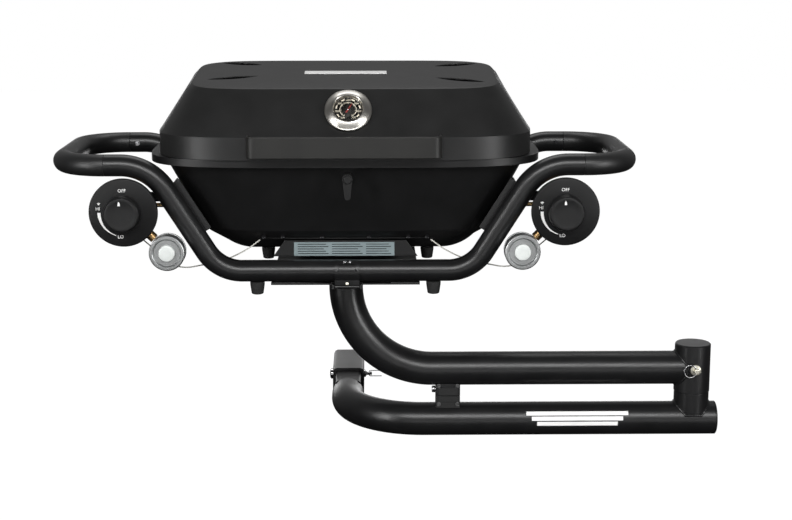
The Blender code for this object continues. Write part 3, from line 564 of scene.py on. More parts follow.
def make_lower_arm():
    """The arm from the pivot post, round its bend to the hitch, and the cap on its end."""
    route = rounded([(ARM_END, ARM_Y, 0), (0, ARM_Y, 0), (0, ARM_START, 0)], [LOWER_BEND], 40)
    arm = tube(route, (0, 0, 1), ARM_R, ARM_WALL, 72)
    show("lower_arm_tube", arm, POWDER, "root", ["lower_arm"], bevel=0.0006)
    inner = ARM_R - 0.0015
    cap = turned(
        ((ARM_R, GAP), (ARM_R, 0.0023), (inner, 0.0035), (inner * 0.6, 0.0035)),
        72, False, TO_SIDE, (ARM_END, ARM_Y, 0),
    )
    show("lower_arm_end", cap, POWDER, "root", ["lower_arm_cap"], bevel=0.0003)


def make_arm_mark():
    """A plain white stripe mark on the upper front of the lower arm."""
    left, right = 0.336, 0.527
    reach = ARM_R + PRINT
    strips = []
    for low, high, start in ((51, 65, 0.0), (69, 83, 0.010), (87, 101, 0.020)):
        turns = [math.radians(low + (high - low) * i / 8) for i in range(9)]
        outline = [(-math.sin(a), math.cos(a)) for a in turns]
        near = [(left + start, ARM_Y + y * reach, z * reach) for y, z in outline]
        far = [(right - start, ARM_Y + y * reach, z * reach) for y, z in outline]
        back = ARM_R - PRINT
        near += [(left + start, ARM_Y + y * back, z * back) for y, z in outline[::-1]]
        far += [(right - start, ARM_Y + y * back, z * back) for y, z in outline[::-1]]
        strips.append(loft([near, far]))
    show("arm_stripe_mark", joined(*strips), INK, "root")


def saddle_loop(radius, level_radius, lowest=0.0):
    """Where an upright tube meets a level one, about the upright's axis."""
    loop = []
    for i in range(SADDLE_POINTS):
        a = 2 * math.pi * i / SADDLE_POINTS
        x, y = radius * math.cos(a), radius * math.sin(a)
        z = math.sqrt(max(level_radius**2 - y**2, 0.0))
        if z < lowest:
            y = math.copysign(math.sqrt(level_radius**2 - lowest**2) + 0.0012, y)
        loop.append(Vector((x, y, max(z, lowest))))
    return loop


def make_post():
    """The post that stands on the lower arm, with the weld round its foot."""
    place = Vector((PIVOT_X, ARM_Y, 0))
    top = corner("pivot_post", 1).z
    post = turned(((POST_R, POST_BOTTOM), (POST_R, top - 0.001), (POST_R - 0.001, top)), 96)
    hollow = turned(((ARM_R + GAP, -0.1), (ARM_R + GAP, 0.1)), 96, False, TO_SIDE)
    show("post_tube", post, POWDER, "root", ["pivot_post"], place, 0.0004,
         cutters=[hollow])
    bead = [place + p for p in saddle_loop(POST_R, ARM_R, POST_BOTTOM + 0.0010)]
    show("post_weld", weld_bead(bead, 0.0026), POWDER, "root")


def make_hitch_pin():
    """Chrome pin with a domed head and a necked end, and the wire clip through its neck."""
    head, end = corner("hitch_pin", 0).x, corner("hitch_pin", 1).x
    neck, shoulder = PIN_NECK_R, PIN_SHOULDER
    profile = (
        (0.0060, head), (0.0092, head + 0.0008), (0.0110, head + 0.0024), (0.0110, head + 0.0066),
        (0.0106, head + 0.0070), (0.0079, head + 0.0070), (0.0079, shoulder - 0.0008),
        (0.0071, shoulder), (neck, shoulder + 0.0020), (neck, end - 0.0010), (neck - 0.0010, end),
    )
    show("hitch_pin_turned", turned(profile, 64, False, TO_SIDE), CHROME, "root",
         ["hitch_pin"])
    low, high = corner("hitch_clip", 0), corner("hitch_clip", 1)
    radius = (high.y - low.y) / 2
    rise = high.z - radius
    near, far = low.x + radius, high.x
    route = rounded([(far, 0, rise), (near, 0, rise), (near, 0, -rise), (far, 0, -rise)],
                    [rise * 0.45] * 2, 12)
    clip = tube(route, (0, 1, 0), radius, None, 20)
    show("clip_wire", clip, STEEL, "root", ["hitch_clip"], bevel=0.0003)


def make_block_bolts():
    """Two small bolts by the tube on the front of each block, and a raised pad beside them."""
    for node, body in (("rest_block", "root"), ("stop_block", "swing_arm")):
        low, high = corner(node, 0), corner(node, 1)
        lower = body == "root"
        z = high.z - 0.0155 if lower else low.z + 0.0190
        places = [(x, low.y, z) for x in (low.x + 0.005, high.x - 0.005)]
        heads = [bolt_head(0.0055, 0.0034, TO_FRONT, place) for place in places]
        show(f"{node}_bolts", joined(*heads), DULL_STEEL, body)
        bottom, top = (z + 0.0040, high.z - 0.0006) if lower else (low.z + 0.0006, z - 0.0040)
        inset = 0.004
        pad = block((low.x + inset, low.y - 0.0016, bottom), (high.x - inset, low.y, top))
        show(f"{node}_pad", pad, RUBBER, body, bevel=0.0008)


def make_clamp_trim():
    """Two screws on the jaw's top, and the bright catch at its foot."""
    low, high = corner("rail_clamp", 0), corner("rail_clamp", 1)
    middle = (low.x + high.x) / 2
    rail = GRILL + Vector((0, -RAIL_HALF_DEPTH, 0))
    lean = math.radians(55)  # from the front up to the screws, round the rail
    tilt = Matrix.Rotation(-lean, 4, "X") @ TO_FRONT
    reach = RAIL_R + 0.0018
    place = rail + Vector((0, -math.cos(lean) * reach, math.sin(lean) * reach))
    profile = ((0.0026, -0.001), (0.0026, 0.0010), (0.0016, 0.0020))
    heads = []
    for x in (middle - 0.004, middle + 0.005):
        heads.append(turned(profile, 24, False, tilt, (x, place.y, place.z)))
    show("clamp_screws", joined(*heads), STEEL, "rail_clamp")
    hook = rounded(
        [(middle, low.y - 0.0002, low.z + 0.0120), (middle, low.y - 0.0020, low.z + 0.0085),
         (middle, low.y + 0.0010, low.z + 0.0070)],
        [0.0012], 8,
    )
    flat = [(-0.0006, -0.0024), (0.0006, -0.0024), (0.0006, 0.0024), (-0.0006, 0.0024)]
    catch = swept(hook, (1, 0, 0), flat)
    show("clamp_catch", catch, PIN, "rail_clamp", bevel=0.0003)


# Swing arm ------------------------------------------------------------


def make_upper_arm():
    """The arm from the pivot sleeve, round its bend and up to the grill, with its weld."""
    top = corner("upper_arm", 1).z
    end = PIVOT_X - 0.010
    corners = [(0, ARM_Y, top), (0, ARM_Y, ARM_RISE), (end, ARM_Y, ARM_RISE)]
    arm = tube(rounded(corners, [UPPER_BEND], 40), (0, 1, 0), ARM_R, ARM_WALL, 72)
    cut = PIVOT_R + GAP
    hollow = turned(((cut, 0.0), (cut, 0.2)), 96, False, None, (PIVOT_X, ARM_Y, 0))
    show("upper_arm_tube", arm, POWDER, "swing_arm", ["upper_arm"], bevel=0.0006,
         cutters=[hollow])
    turn = Matrix.Rotation(-math.pi / 2, 4, "Y")
    bead = [Vector((PIVOT_X, ARM_Y, ARM_RISE)) + turn @ p for p in saddle_loop(ARM_R, PIVOT_R)]
    show("arm_weld", weld_bead(bead, 0.0022), POWDER, "swing_arm")


def make_pivot_sleeve():
    """The sleeve that turns on the post, closed at its top, with the lock pin's hole."""
    low, high = corner("pivot_sleeve", 0).z, corner("pivot_sleeve", 1).z
    bore = SLEEVE_BORE_R
    cup = turned(
        (
            (bore, high - 0.0034), (bore, low), (PIVOT_R, low), (PIVOT_R, high - 0.0018),
            (PIVOT_R - 0.0018, high),
        ),
        96,
    )
    lock = corner("lock_pin", 0).z / 2 + corner("lock_pin", 1).z / 2
    profile = ((LOCK_PIN_HOLE_R, 0.01), (LOCK_PIN_HOLE_R, 0.05))
    hole = turned(profile, 32, False, TO_FRONT, (0, 0, lock))
    show("sleeve_tube", cup, POWDER, "swing_arm", ["pivot_sleeve"],
         (PIVOT_X, ARM_Y, 0), 0.0008, cutters=[hole])


def make_lock_pin():
    """The pin, whose profile runs outwards from the face of the sleeve, and its ring."""
    lock = corner("lock_pin", 0).z / 2 + corner("lock_pin", 1).z / 2
    place = Vector((PIVOT_X, ARM_Y - PIVOT_R, lock))
    profile = (
        (0.0030, -0.0135), (0.0040, -0.0120), (0.0040, 0.0006), (0.0096, 0.0006), (0.0100, 0.0010),
        (0.0100, 0.0036), (0.0094, 0.0042), (0.0054, 0.0050), (0.0050, 0.0056), (0.0050, 0.0136),
        (0.0044, 0.0150), (0.0035, 0.0155),
    )
    pin = turned(profile, 48, False, TO_FRONT)
    eye = turned(((0.0026, -0.01), (0.0026, 0.01)), 24, at=(0, -0.0105, 0))
    show("lock_pin_turned", pin, PIN, "lock_pin", ["lock_pin"], place, cutters=[eye])
    radius = corner("lock_ring", 1).x / 2 - corner("lock_ring", 0).x / 2 - LOCK_RING_WIRE_R
    middle = (corner("lock_ring", 0) + corner("lock_ring", 1)) / 2
    steps = [2 * math.pi * i / 72 for i in range(72)]
    loop = [middle + Vector((radius * math.cos(a), 0, radius * math.sin(a))) for a in steps]
    ring = weld_bead(loop, LOCK_RING_WIRE_R, 0.0, 16)
    show("lock_ring_wire", ring, STEEL, "lock_ring", ["lock_ring"])


# Grill frame ----------------------------------------------------------


def make_rails():
    """Both rails, both handles, and the bolt at each rear seam."""
    end = HANDLE_SEAM - GAP / 2
    for name, y in (("front_rail", -RAIL_HALF_DEPTH), ("rear_rail", RAIL_HALF_DEPTH)):
        corners = [
            (-end, y, HANDLE_Z), (-RAIL_CORNER_HIGH, y, HANDLE_Z), (-RAIL_CORNER_LOW, y, 0),
            (RAIL_CORNER_LOW, y, 0), (RAIL_CORNER_HIGH, y, HANDLE_Z), (end, y, HANDLE_Z),
        ]
        bends = [RAIL_BEND_HIGH, RAIL_BEND_LOW, RAIL_BEND_LOW, RAIL_BEND_HIGH]
        rail = tube(rounded(corners, bends), (0, 1, 0), RAIL_R, RAIL_WALL, 56)
        show(f"{name}_tube", rail, POWDER, "swing_arm", [name], GRILL, 0.0005)
    for side, name in ((-1, "handle_left"), (1, "handle_right")):
        seam, reach = side * (HANDLE_SEAM + GAP / 2), side * HANDLE_REACH
        corners = [
            (seam, -RAIL_HALF_DEPTH, HANDLE_Z), (reach, -RAIL_HALF_DEPTH, HANDLE_Z),
            (reach, RAIL_HALF_DEPTH, HANDLE_Z), (seam, RAIL_HALF_DEPTH, HANDLE_Z),
        ]
        handle = tube(rounded(corners, [HANDLE_BEND] * 2, 28), (0, 0, 1), RAIL_R, RAIL_WALL, 56)
        show(f"{name}_grip", handle, GRIP, "swing_arm", [name], GRILL, 0.0009)
    for side, name, look in ((-1, "rail_bolt_left", STEEL), (1, "rail_bolt_right", DARK_BOLT)):
        place = (side * 0.399, RAIL_HALF_DEPTH - RAIL_R + 0.0004, HANDLE_Z)
        bolt = bolt_head(0.006, 0.0030, TO_FRONT, place)
        show(name, bolt, look, "swing_arm", (), GRILL)


def make_feet():
    """Four tapered rubber feet with a screw hole in their soles."""
    height = corner("foot_front_left", 1).z - corner("foot_front_left", 0).z
    profile = (
        (0.0085, 0), (0.0095, 0.0004), (0.0105, 0.0014), (0.0118, 0.010), (0.0128, height - 0.004),
        (0.0128, height - 0.0006), (0.0122, height),
    )
    for name in ("foot_front_left", "foot_front_right", "foot_rear_left", "foot_rear_right"):
        low, high = corner(name, 0), corner(name, 1)
        place = ((low.x + high.x) / 2, (low.y + high.y) / 2, low.z)
        bore = turned(((0.0032, -0.001), (0.0032, 0.006)), 24)
        show(f"{name}_rubber", turned(profile, 48), RUBBER, "swing_arm", [name],
             place, cutters=[bore])


# Cooking box ----------------------------------------------------------


def make_ears(name, outline, x, bore, look, body):
    """Two upright ears, each x from the middle, with the hinge rod's hole through both."""
    ears = []
    for middle in (-x, x):
        low, high = middle - EAR_HALF, middle + EAR_HALF
        ears.append(slab(outline, low, high, lambda u, v, h: (h, u, v)))
    hole = turned(((bore, -0.2), (bore, 0.2)), 24, False, TO_SIDE, (0, HINGE_Y, HINGE_Z))
    show(name, joined(*ears), look, body, (), GRILL, 0.0005, cutters=[hole])


def make_firebox():
    """The pressed box, its hinge ears, the rivets across its front and the seam round it."""
    outer = [pillow(a, b, z) for a, b, z in BOX_RINGS]
    outer += [
        pillow(RIM_HALF_X, RIM_HALF_Y, RIM_LOW),
        pillow(RIM_HALF_X, RIM_HALF_Y, RIM_TOP),
        pillow(0.315, 0.183, RIM_TOP),
    ]
    inner = [pillow(a - BOX_WALL, b - BOX_WALL, z + BOX_WALL) for a, b, z in BOX_RINGS[-1::-1]]
    floor = BOX_RINGS[0][2]
    drain = [pillow(DRAIN_R, DRAIN_R, z, 2.0) for z in (floor + BOX_WALL, floor)]
    ports = []
    for side in (-1, 1):
        low, high = sorted((side * 0.20, side * 0.31))
        place = (0, -BURNER_Y, BURNER_Z)
        ports.append(turned(((0.011, low), (0.011, high)), 32, False, TO_SIDE, place))
    show("firebox_shell", loft(outer + inner + drain, True), BOX, "swing_arm",
         ["firebox"], GRILL, 0.0014, 18, ports)
    outline = ((0.190, 0.1870), (0.2240, 0.1870), (0.2240, 0.2055), (0.2100, 0.2055),
               (0.2100, 0.1985), (0.190, 0.1985))
    make_ears("firebox_ears", outline, BOX_EAR_X, HINGE_ROD_R + GAP, BOX, "swing_arm")
    rivets = []
    lean = Matrix.Rotation(math.radians(-50), 4, "X") @ TO_FRONT
    for x in (-0.143, -0.110, -0.041, 0.041, 0.110, 0.143):
        head = turned(
            ((0.0042, -0.0010), (0.0042, 0.0004), (0.0034, 0.0014), (0.0016, 0.0020)),
            24, False, lean, (x, -0.1405, 0.0565),
        )
        rivets.append(head)
    show("firebox_rivets", joined(*rivets), DARK_BOLT, "swing_arm", (), GRILL)
    seam = [Vector(p) for p in pillow(0.2275, 0.1350, 0.0525)]
    show("firebox_seam", weld_bead(seam, 0.0009, 0.0), BOX, "swing_arm", (), GRILL)


def make_tray_label():
    """A pale plate on the tray's face with plain rules on it, and no words."""
    front = LABEL_FACE - LABEL_THICK
    plate = block((-0.0905, front, 0.0215), (0.086, LABEL_FACE, 0.0460))
    show("tray_label", plate, LABEL, "grease_tray", (), GRILL, 0.0001)
    rules = []
    for i in range(5):
        low = 0.0250 + i * 0.0042
        high = low + 0.0012
        for left, right in ((-0.084, -0.030), (-0.024, 0.030), (0.036, 0.080)):
            end = right - 0.004 * (i % 3)
            rules.append(block((left, front - PRINT, low), (end, front, high)))
    show("tray_label_rules", joined(*rules), DIAL, "grease_tray", (), GRILL)


def make_lead(side, name):
    """Igniter lead from the valve to the electrode at the front of the box."""
    points = (
        (0.380, -0.1620, 0.0922),
        (0.378, -0.1560, 0.0790),
        (0.364, -0.1460, 0.0620),
        (0.344, -0.1400, 0.0430),
        (0.322, -0.1400, 0.0220),
        (0.303, -0.1440, 0.0080),
        (0.280, -0.1460, 0.0035),
        (0.256, -0.1390, 0.0055),
        (0.230, -0.1310, 0.0100),
        (0.200, -0.1310, 0.0190),
        (0.172, -0.1335, 0.0340),
        (0.150, -0.1350, 0.0500),
    )
    route = smooth_route([GRILL + Vector((side * x, y, z)) for x, y, z in points])
    lead = wire(f"lead_{name}", route, LEAD_R, SKIN, "swing_arm",
                [f"igniter_lead_{name}"])


def make_gas_tube(side, name):
    """Gas tube from the valve's back to the burner's inlet."""
    points = (
        (CONTROL_X, -0.1446, CONTROL_Z),
        (CONTROL_X, -0.120, CONTROL_Z),
        (0.372, -0.086, 0.105),
        (0.345, -0.064, 0.101),
        (0.315, -BURNER_Y, BURNER_Z),
        (BURNER_INLET_X, -BURNER_Y, BURNER_Z),
    )
    route = smooth_route([GRILL + Vector((side * x, y, z)) for x, y, z in points])
    wire(f"gas_pipe_{name}", route, GAS_TUBE_R, BRASS, "swing_arm", [f"gas_tube_{name}"])


# Lid ------------------------------------------------------------------


def lid_rings(inset):
    """Rings of the lid's outside, or of its inside when inset by the wall."""
    x, y, top = LID_TOP_HALF_X, LID_TOP_HALF_Y, LID_TOP_Z
    rows = (  # half width, half depth, height, squareness, middle's Y and slope
        (LID_HALF_X, LID_HALF_Y + 0.001, LID_BOTTOM, 4.0, 0.0, 0.0),
        (LID_HALF_X, LID_HALF_Y, LID_SHOULDER, 4.0, 0.0, 0.0),
        (LID_HALF_X - 0.004, LID_HALF_Y - 0.0035, LID_SHOULDER + 0.0055, 4.0, 0.0, 0.0),
        (x + 0.006, y + 0.006, top - 0.010, 5.5, 0.002, LID_TOP_SLOPE),
        (x - 0.002, y - 0.002, top - 0.002, 6.0, 0.002, LID_TOP_SLOPE),
        (x - 0.012, y - 0.010, top, 6.0, 0.002, LID_TOP_SLOPE),
    )
    rings = []
    for half_x, half_y, z, *rest in rows:
        drop = inset if z > LID_BOTTOM else 0
        rings.append(pillow(half_x - inset, half_y - inset, z - drop, *rest))
    return rings


def on_top(u, v, h):
    """A point of the lid's sloping top, or h above it."""
    return (u, v, LID_TOP_Z + LID_TOP_SLOPE * v + h)


def top_groove(start, end, low, high, wide=0.025):
    """A flat shape with two pointed ends, lying along the lid's sloping top."""
    start, end = Vector(start), Vector(end)
    along = end - start
    across = Vector((-along.y, along.x)).normalized()
    outline = []
    for way in (1, -1):
        for i in range(GROOVE_STEPS):
            t = i / GROOVE_STEPS if way == 1 else 1 - i / GROOVE_STEPS
            bulge = way * wide / 2 * math.sin(math.pi * t) ** 0.8 if 0 < t < 1 else 0.0
            outline.append(start + along * t + across * bulge)
    return slab(outline, low, high, on_top)


def make_lid():
    """The pressed lid with its four grooves, black sheets of painted shade on their floors, its
    hinge ears and a plain badge.
    """
    lines = (
        ((-0.236, 0.1195), (-0.156, 0.092)),
        ((-0.244, -0.060), (-0.155, -0.024)),
        ((0.163, 0.0765), (0.245, 0.108)),
        ((0.160, -0.043), (0.246, -0.088)),
    )
    grooves = [top_groove(start, end, -0.0020, 0.01) for start, end in lines]
    # Near-black, shineless sheets on the groove floors: painted shade that makes the grooves read
    # dark.
    floors = [top_groove(start, end, -0.0023, -0.0017, 0.0245) for start, end in lines]
    show("lid_groove_painted_shade", joined(*floors), SHADOW, "lid", (), GRILL)
    facing = Matrix.Rotation(-GAUGE_TILT, 4, "X") @ TO_FRONT
    probe = turned(((0.0055, -0.03), (0.0055, 0.03)), 24, False, facing, GAUGE)
    shell = loft(lid_rings(0)[::-1] + lid_rings(LID_WALL))
    show("lid_skin", shell, LID, "lid", ["lid_shell"], GRILL, 0.0022, 14,
         [*grooves, probe])
    outline = ((0.2050, 0.1935), (0.2230, 0.1935), (0.2230, 0.2070), (0.2120, 0.2250),
               (0.2050, 0.2250))
    make_ears("lid_ears", outline, LID_EAR_X, HINGE_ROD_R + 2 * GAP, LID, "lid")

    outline = ((-0.074, -0.004), (0.074, -0.004), (0.074, 0.020), (-0.074, 0.020))
    badge = slab(outline, 0.0, 0.0012, on_top)
    show("lid_badge", badge, INK, "lid", (), GRILL, 0.0004)


def make_lid_handle():
    """A flat strap bent round across the front of the lid."""
    half, deep, skirt = LID_HANDLE_HALF_X, LID_HANDLE_Y, -LID_HALF_Y - 0.0016
    corners = [(-half, skirt, 0), (-half, deep, 0), (half, deep, 0), (half, skirt, 0)]
    route = rounded(corners, [0.012, 0.012], 16)
    for point in route:
        point.z = (LID_HANDLE_LOW + LID_HANDLE_HIGH) / 2
    tall = (LID_HANDLE_HIGH - LID_HANDLE_LOW) / 2
    flat = [(-0.002, -tall), (0.002, -tall), (0.002, tall), (-0.002, tall)]
    strap = swept(route, (0, 0, 1), flat)
    show("lid_handle_strap", strap, STRAP, "lid", ["lid_handle"], GRILL, 0.0018)


def make_gauge():
    """The lid's thermometer: rim, dial, marks, needle, hub and lens."""
    facing = Matrix.Translation(GAUGE) @ Matrix.Rotation(-GAUGE_TILT, 4, "X") @ TO_FRONT
    case = (
        (0.0045, -0.045), (0.0045, 0.0012), (0.0370, 0.0012), (0.0395, 0.0022), (0.0405, 0.0040),
        (0.0405, 0.0064), (0.0398, 0.0074), (0.0384, 0.0078), (0.0376, 0.0086), (0.0292, 0.0134),
        (0.0280, 0.0139), (0.0266, 0.0139), (0.0258, 0.0132), (0.0238, 0.0078),
    )
    bm = turned(case, 96)
    bm.transform(facing)
    show("gauge_rim", bm, GAUGE_RIM, "lid", ["gauge_case"], GRILL)

    face = turned(((0.0239, 0.0075), (0.0239, 0.0078)), 96)
    face.transform(facing)
    show("gauge_face", face, DIAL, "lid", (), GRILL)

    marks = [band(0.0142, DIAL_START - DIAL_SWEEP, DIAL_START, 0.0007, 0.0007)]
    for i in range(31):
        a = math.radians(DIAL_START - DIAL_SWEEP * i / 30)
        long, wide = (0.0026, 0.00080) if i % 5 == 0 else (0.0014, 0.00045)
        tick = block((0.0141 - long, -wide / 2, -PRINT / 2), (0.0141, wide / 2, PRINT / 2))
        tick.transform(Matrix.Rotation(a, 4, "Z"))
        marks.append(tick)
    for i in range(7):
        a = math.radians(DIAL_START - DIAL_SWEEP * i / 6)
        middle = (0.0188 * math.cos(a), 0.0184 * math.sin(a), 0)
        marks.append(lettering(str(100 + 100 * i), 0.0052, middle))
    for i in range(6):
        a = DIAL_START - DIAL_SWEEP * (i + 0.5) / 6
        marks.append(band(0.0205, a - 9, a + 9, 0.0024, 0.0024, 8))
    print_face = joined(*marks)
    print_face.transform(facing @ Matrix.Translation((0, 0, 0.0079)))
    show("gauge_marks", print_face, CREAM, "lid", (), GRILL)

    outline = (
        (-0.0013, -0.0070), (0.0013, -0.0070), (0.0012, 0.0), (0.0003, 0.0135), (-0.0003, 0.0135),
        (-0.0012, 0.0),
    )
    needle = slab(outline, 0.0086, 0.0093, lambda u, v, h: (u, v, h))
    needle.transform(facing @ Matrix.Rotation(NEEDLE_TURN, 4, "Z"))
    show("gauge_pointer", needle, RED, "gauge_needle", ["gauge_needle"], GRILL,
         0.0001)

    hub = turned(((0.0016, 0.0078), (0.0016, 0.0096), (0.0010, 0.0101)), 32)
    hub.transform(facing)
    show("gauge_hub", hub, CHROME, "lid", (), GRILL)
    lens = turned(((0.0250, 0.0114), (0.0250, 0.0118), (0.0180, 0.0121), (0.0060, 0.0122)), 64)
    lens.transform(facing)
    show("gauge_lens", lens, LENS, "lid", (), GRILL)


# Controls -------------------------------------------------------------


def make_bezel(side, name):
    """A control's round plate, the tab that holds it behind, and its printed marks."""
    place = GRILL + Vector((side * CONTROL_X, 0, CONTROL_Z))
    profile = (
        (0.0070, BEZEL_BACK), (BEZEL_R - 0.0014, BEZEL_BACK), (BEZEL_R, BEZEL_BACK + 0.0014),
        (BEZEL_R, BEZEL_FRONT - 0.0024), (BEZEL_R - 0.0008, BEZEL_FRONT - 0.0008),
        (BEZEL_R - 0.0026, BEZEL_FRONT), (0.0070, BEZEL_FRONT),
    )
    plate = turned(profile, 128, True, TO_FRONT)
    near, far = -side * 0.028, -side * 0.034
    low, high = BEZEL_TAB_LOW, BEZEL_TAB_HIGH
    post = block((min(near, far), -BEZEL_BACK, low), (max(near, far), -0.1375, high))
    end, trim = -side * 0.088, 0.0005
    tab = block((min(far, end), -0.1405, low + trim), (max(far, end), -0.1377, high - trim))
    bezel = joined(plate, post, tab)
    show(f"bezel_plate_{name}", bezel, PLASTIC, "swing_arm", [f"bezel_{name}"],
         place, 0.0005)

    spark = []
    for k in range(3):
        spike = block((-0.0006, 0, -PRINT / 2), (0.0006, 0.0042, PRINT / 2))
        fan = Matrix.Rotation(0.6 * (k - 1), 4, "Z")
        spike.transform(Matrix.Translation((-0.0410, 0.0140, 0)) @ fan)
        spark.append(spike)
    ink = joined(
        lettering("OFF", 0.0078, (-0.0010, 0.0385, 0)),
        lettering("HI", 0.0080, (-0.0427, 0.0072, 0)),
        lettering("LO", 0.0080, (-0.0050, -0.0415, 0)),
        band(0.0408, 179, 252, 0.0056, 0.0010),
        *spark,
    )
    ink.transform(TO_FRONT)
    show(f"bezel_print_{name}", ink, INK, "swing_arm", (),
         place + Vector((0, -BEZEL_FRONT - PRINT, 0)))


def make_knob(side, name):
    """A plain round knob with a soft rim, a shallow dish and fine grooves round its side."""
    place = GRILL + Vector((side * CONTROL_X, 0, CONTROL_Z))
    body = f"knob_{name}"
    front = place.y - corner(body, 0).y
    profile = (
        (0.0052, 0.2085), (0.0052, 0.1970), (KNOB_R - 0.001, 0.1970), (KNOB_R, 0.1980),
        (KNOB_R - 0.0010, front - 0.0050), (KNOB_R - 0.0016, front - 0.0022),
        (KNOB_R - 0.0034, front - 0.0006), (KNOB_R - 0.0060, front),
        (KNOB_R - 0.0085, front - 0.0004), (KNOB_R - 0.0130, front - 0.0011),
        (0.0080, front - 0.0015),
    )
    flutes = []
    groove = ((0.0007, 0.1990), (0.0007, front - 0.0060))
    for x, z, _ in circle(KNOB_R + 0.0003, 0, KNOB_FLUTES):
        flutes.append(turned(groove, 8, False, TO_FRONT, (x, 0, z)))
    show(f"knob_cap_{name}", turned(profile, 144, False, TO_FRONT), KNOB, body,
         [body], place, cutters=[joined(*flutes)])
    outline = ((-0.0020, 0.0160), (0.0020, 0.0160), (0.0014, 0.0208), (-0.0004, 0.0235),
               (-0.0018, 0.0195))
    mark = slab(outline, front - 0.0012, front - 0.0002, lambda u, v, h: (u - 0.003, -h, v))
    show(f"knob_mark_{name}", mark, INK, body, (), place)


def make_regulator(side, name):
    """A round gas regulator seen from its front, with its pale cap."""
    place = GRILL + Vector((side * REGULATOR_X, 0, REGULATOR_Z))
    r = REGULATOR_R
    profile = (
        (0.0120, 0.1480), (0.0120, 0.1560), (0.0220, 0.1570), (0.0296, 0.1612), (r, 0.1640),
        (r, 0.1700), (r - 0.0012, 0.1706), (r - 0.0012, 0.1726), (r, 0.1732),
        (r, 0.1918), (r - 0.0008, 0.1936), (r - 0.0022, 0.1945), (0.0252, 0.1945), (0.0240, 0.1938),
        (0.0225, 0.1915), (0.0146, 0.1915), (0.0144, 0.1900),
    )
    show(f"regulator_body_{name}", turned(profile, 96, False, TO_FRONT), ZINC, "swing_arm",
         [f"regulator_{name}"], place)
    cap = turned(
        ((0.0142, 0.1901), (0.0142, 0.1946), (0.0134, 0.1956), (0.0120, 0.1960), (0.0050, 0.1960)),
        64, False, TO_FRONT,
    )
    show(f"regulator_cap_{name}", cap, PALE_CAP, "swing_arm", (), place)


# Carried-over frame parts ---------------------------------------------


def finish_frame_parts():
    """Gives each frame part that still shows its look, soft edges and smooth shading."""
    slots = {row["node"]: row["material_slot"] for row in frame["record"]["subparts"]}
    for name, part in frame["nodes"].items():
        if part.hide_render:
            continue
        mesh = part.data
        if "custom_normal" in mesh.attributes:
            mesh.attributes.remove(mesh.attributes["custom_normal"])
        mesh.shade_smooth()
        mesh.materials.clear()
        mesh.materials.append(LOOKS[slots[name]])
        weld = part.modifiers.new("weld", "WELD")
        weld.merge_threshold = 0.00002
        size = min(corner(name, 1) - corner(name, 0))
        soften(part, min(0.0008, size * 0.08), 32)


# Studio ---------------------------------------------------------------


CAMERA_PLACE = (0.044, -3.249, 0.894)
CAMERA_DOWN = 11.38  # degrees below level
CAMERA_TURN = -0.95  # degrees about +Z
CAMERA_LENS = 73.4  # millimetres, on a sensor 36 mm wide
LIT_CENTRE = Vector((0.05, ARM_Y, 0.28))  # the point that the lamps face
FLOOR_Z = -0.75


def make_camera():
    """A long lens in front of the grill, looking slightly down."""
    camera = placed("camera", bpy.data.cameras.new("camera"))
    camera.location = CAMERA_PLACE
    camera.rotation_euler = (math.radians(90 - CAMERA_DOWN), 0, math.radians(CAMERA_TURN))
    camera.data.lens = CAMERA_LENS
    camera.data.sensor_width = 36
    bpy.context.scene.camera = camera


def make_world():
    """A white backdrop, and soft light that comes mostly from behind and above."""
    world = bpy.data.worlds.new("studio")
    world.use_nodes = True
    bpy.context.scene.world = world
    nodes, links = world.node_tree.nodes, world.node_tree.links
    seen = nodes["Background"]
    seen.inputs["Color"].default_value = (1, 1, 1, 1)
    lit = nodes.new("ShaderNodeBackground")
    where = nodes.new("ShaderNodeTexCoord")
    apart = nodes.new("ShaderNodeSeparateXYZ")
    links.new(where.outputs["Generated"], apart.inputs["Vector"])
    rear = ramp(nodes, links, apart.outputs["Y"], -0.2, 0.9, 0.04, 0.46)
    height = ramp(nodes, links, apart.outputs["Z"], -0.4, 0.6, 0.05, 1.0)
    both = nodes.new("ShaderNodeMath")
    both.operation = "MULTIPLY"
    links.new(rear, both.inputs[0])
    links.new(height, both.inputs[1])
    links.new(both.outputs["Value"], lit.inputs["Strength"])
    path = nodes.new("ShaderNodeLightPath")
    mix = nodes.new("ShaderNodeMixShader")
    links.new(path.outputs["Is Camera Ray"], mix.inputs["Fac"])
    links.new(lit.outputs["Background"], mix.inputs[1])
    links.new(seen.outputs["Background"], mix.inputs[2])
    links.new(mix.outputs["Shader"], nodes["World Output"].inputs["Surface"])


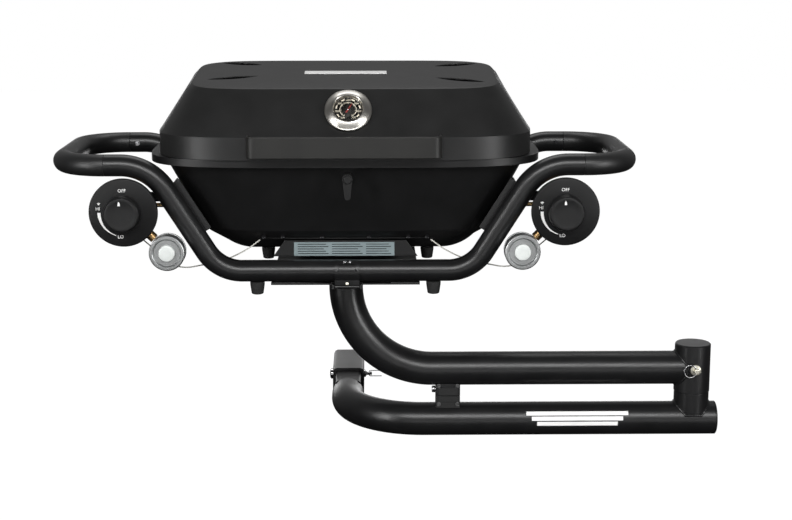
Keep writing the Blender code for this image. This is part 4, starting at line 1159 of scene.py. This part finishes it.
def make_lamps():
    """Area lamps that face the middle of the object: name, place, width, height and power."""
    lamps = (
        ("front_key", (0.0, -4.6, 2.7), 4.6, 0.9, 165),
        ("left_side", (-2.6, -2.7, 0.75), 0.6, 2.0, 55),
        ("right_side", (2.6, -2.7, 0.75), 0.6, 2.0, 55),
        ("low_front", (0.0, -4.6, -0.3), 4.0, 0.4, 15),
        ("rear_top", (0.0, 0.9, 3.0), 2.0, 1.2, 20),
        ("rear_low", (0.0, 4.6, 0.1), 4.4, 1.4, 42),
    )
    for name, place, wide, tall, power in lamps:
        light = bpy.data.lights.new(name, "AREA")
        light.shape = "RECTANGLE"
        light.size, light.size_y = wide, tall
        light.energy = power
        lamp = placed(name, light)
        lamp.location = place
        lamp.visible_camera = False
        lamp.rotation_euler = (LIT_CENTRE - Vector(place)).to_track_quat("-Z", "Y").to_euler()


def make_floor():
    """A pale floor well below the grill, which neither lights it nor takes its shadow."""
    floor = bmesh.new()
    bmesh.ops.create_grid(floor, x_segments=1, y_segments=1, size=14)
    mesh = bpy.data.meshes.new("floor")
    floor.to_mesh(mesh)
    floor.free()
    ground = placed("floor", mesh)
    ground.location = (0, 0, FLOOR_Z)
    pale = bpy.data.materials.new("pale_floor")
    pale.use_nodes = True
    shader = pale.node_tree.nodes["Principled BSDF"]
    shader.inputs["Base Color"].default_value = (0.02, 0.02, 0.02, 1)
    shader.inputs["Roughness"].default_value = 1.0
    shader.inputs["Emission Color"].default_value = (1, 1, 1, 1)
    shader.inputs["Emission Strength"].default_value = 1.0
    mesh.materials.append(pale)
    ground.visible_diffuse = False
    ground.visible_glossy = False
    ground.visible_shadow = False


def main():
    """Makes the studio, then every piece, from the hitch end to the controls."""
    bpy.context.scene.view_settings.view_transform = "Standard"
    make_camera()
    make_world()
    make_lamps()
    make_floor()
    make_lower_arm()
    make_arm_mark()
    make_post()
    make_hitch_pin()
    make_block_bolts()
    make_clamp_trim()
    make_upper_arm()
    make_pivot_sleeve()
    make_lock_pin()
    make_rails()
    make_feet()
    make_firebox()
    make_tray_label()
    make_lid()
    make_lid_handle()
    make_gauge()
    for side, name in ((-1, "left"), (1, "right")):
        make_bezel(side, name)
        make_knob(side, name)
        make_regulator(side, name)
        make_gas_tube(side, name)
        make_lead(side, name)
    finish_frame_parts()


main()
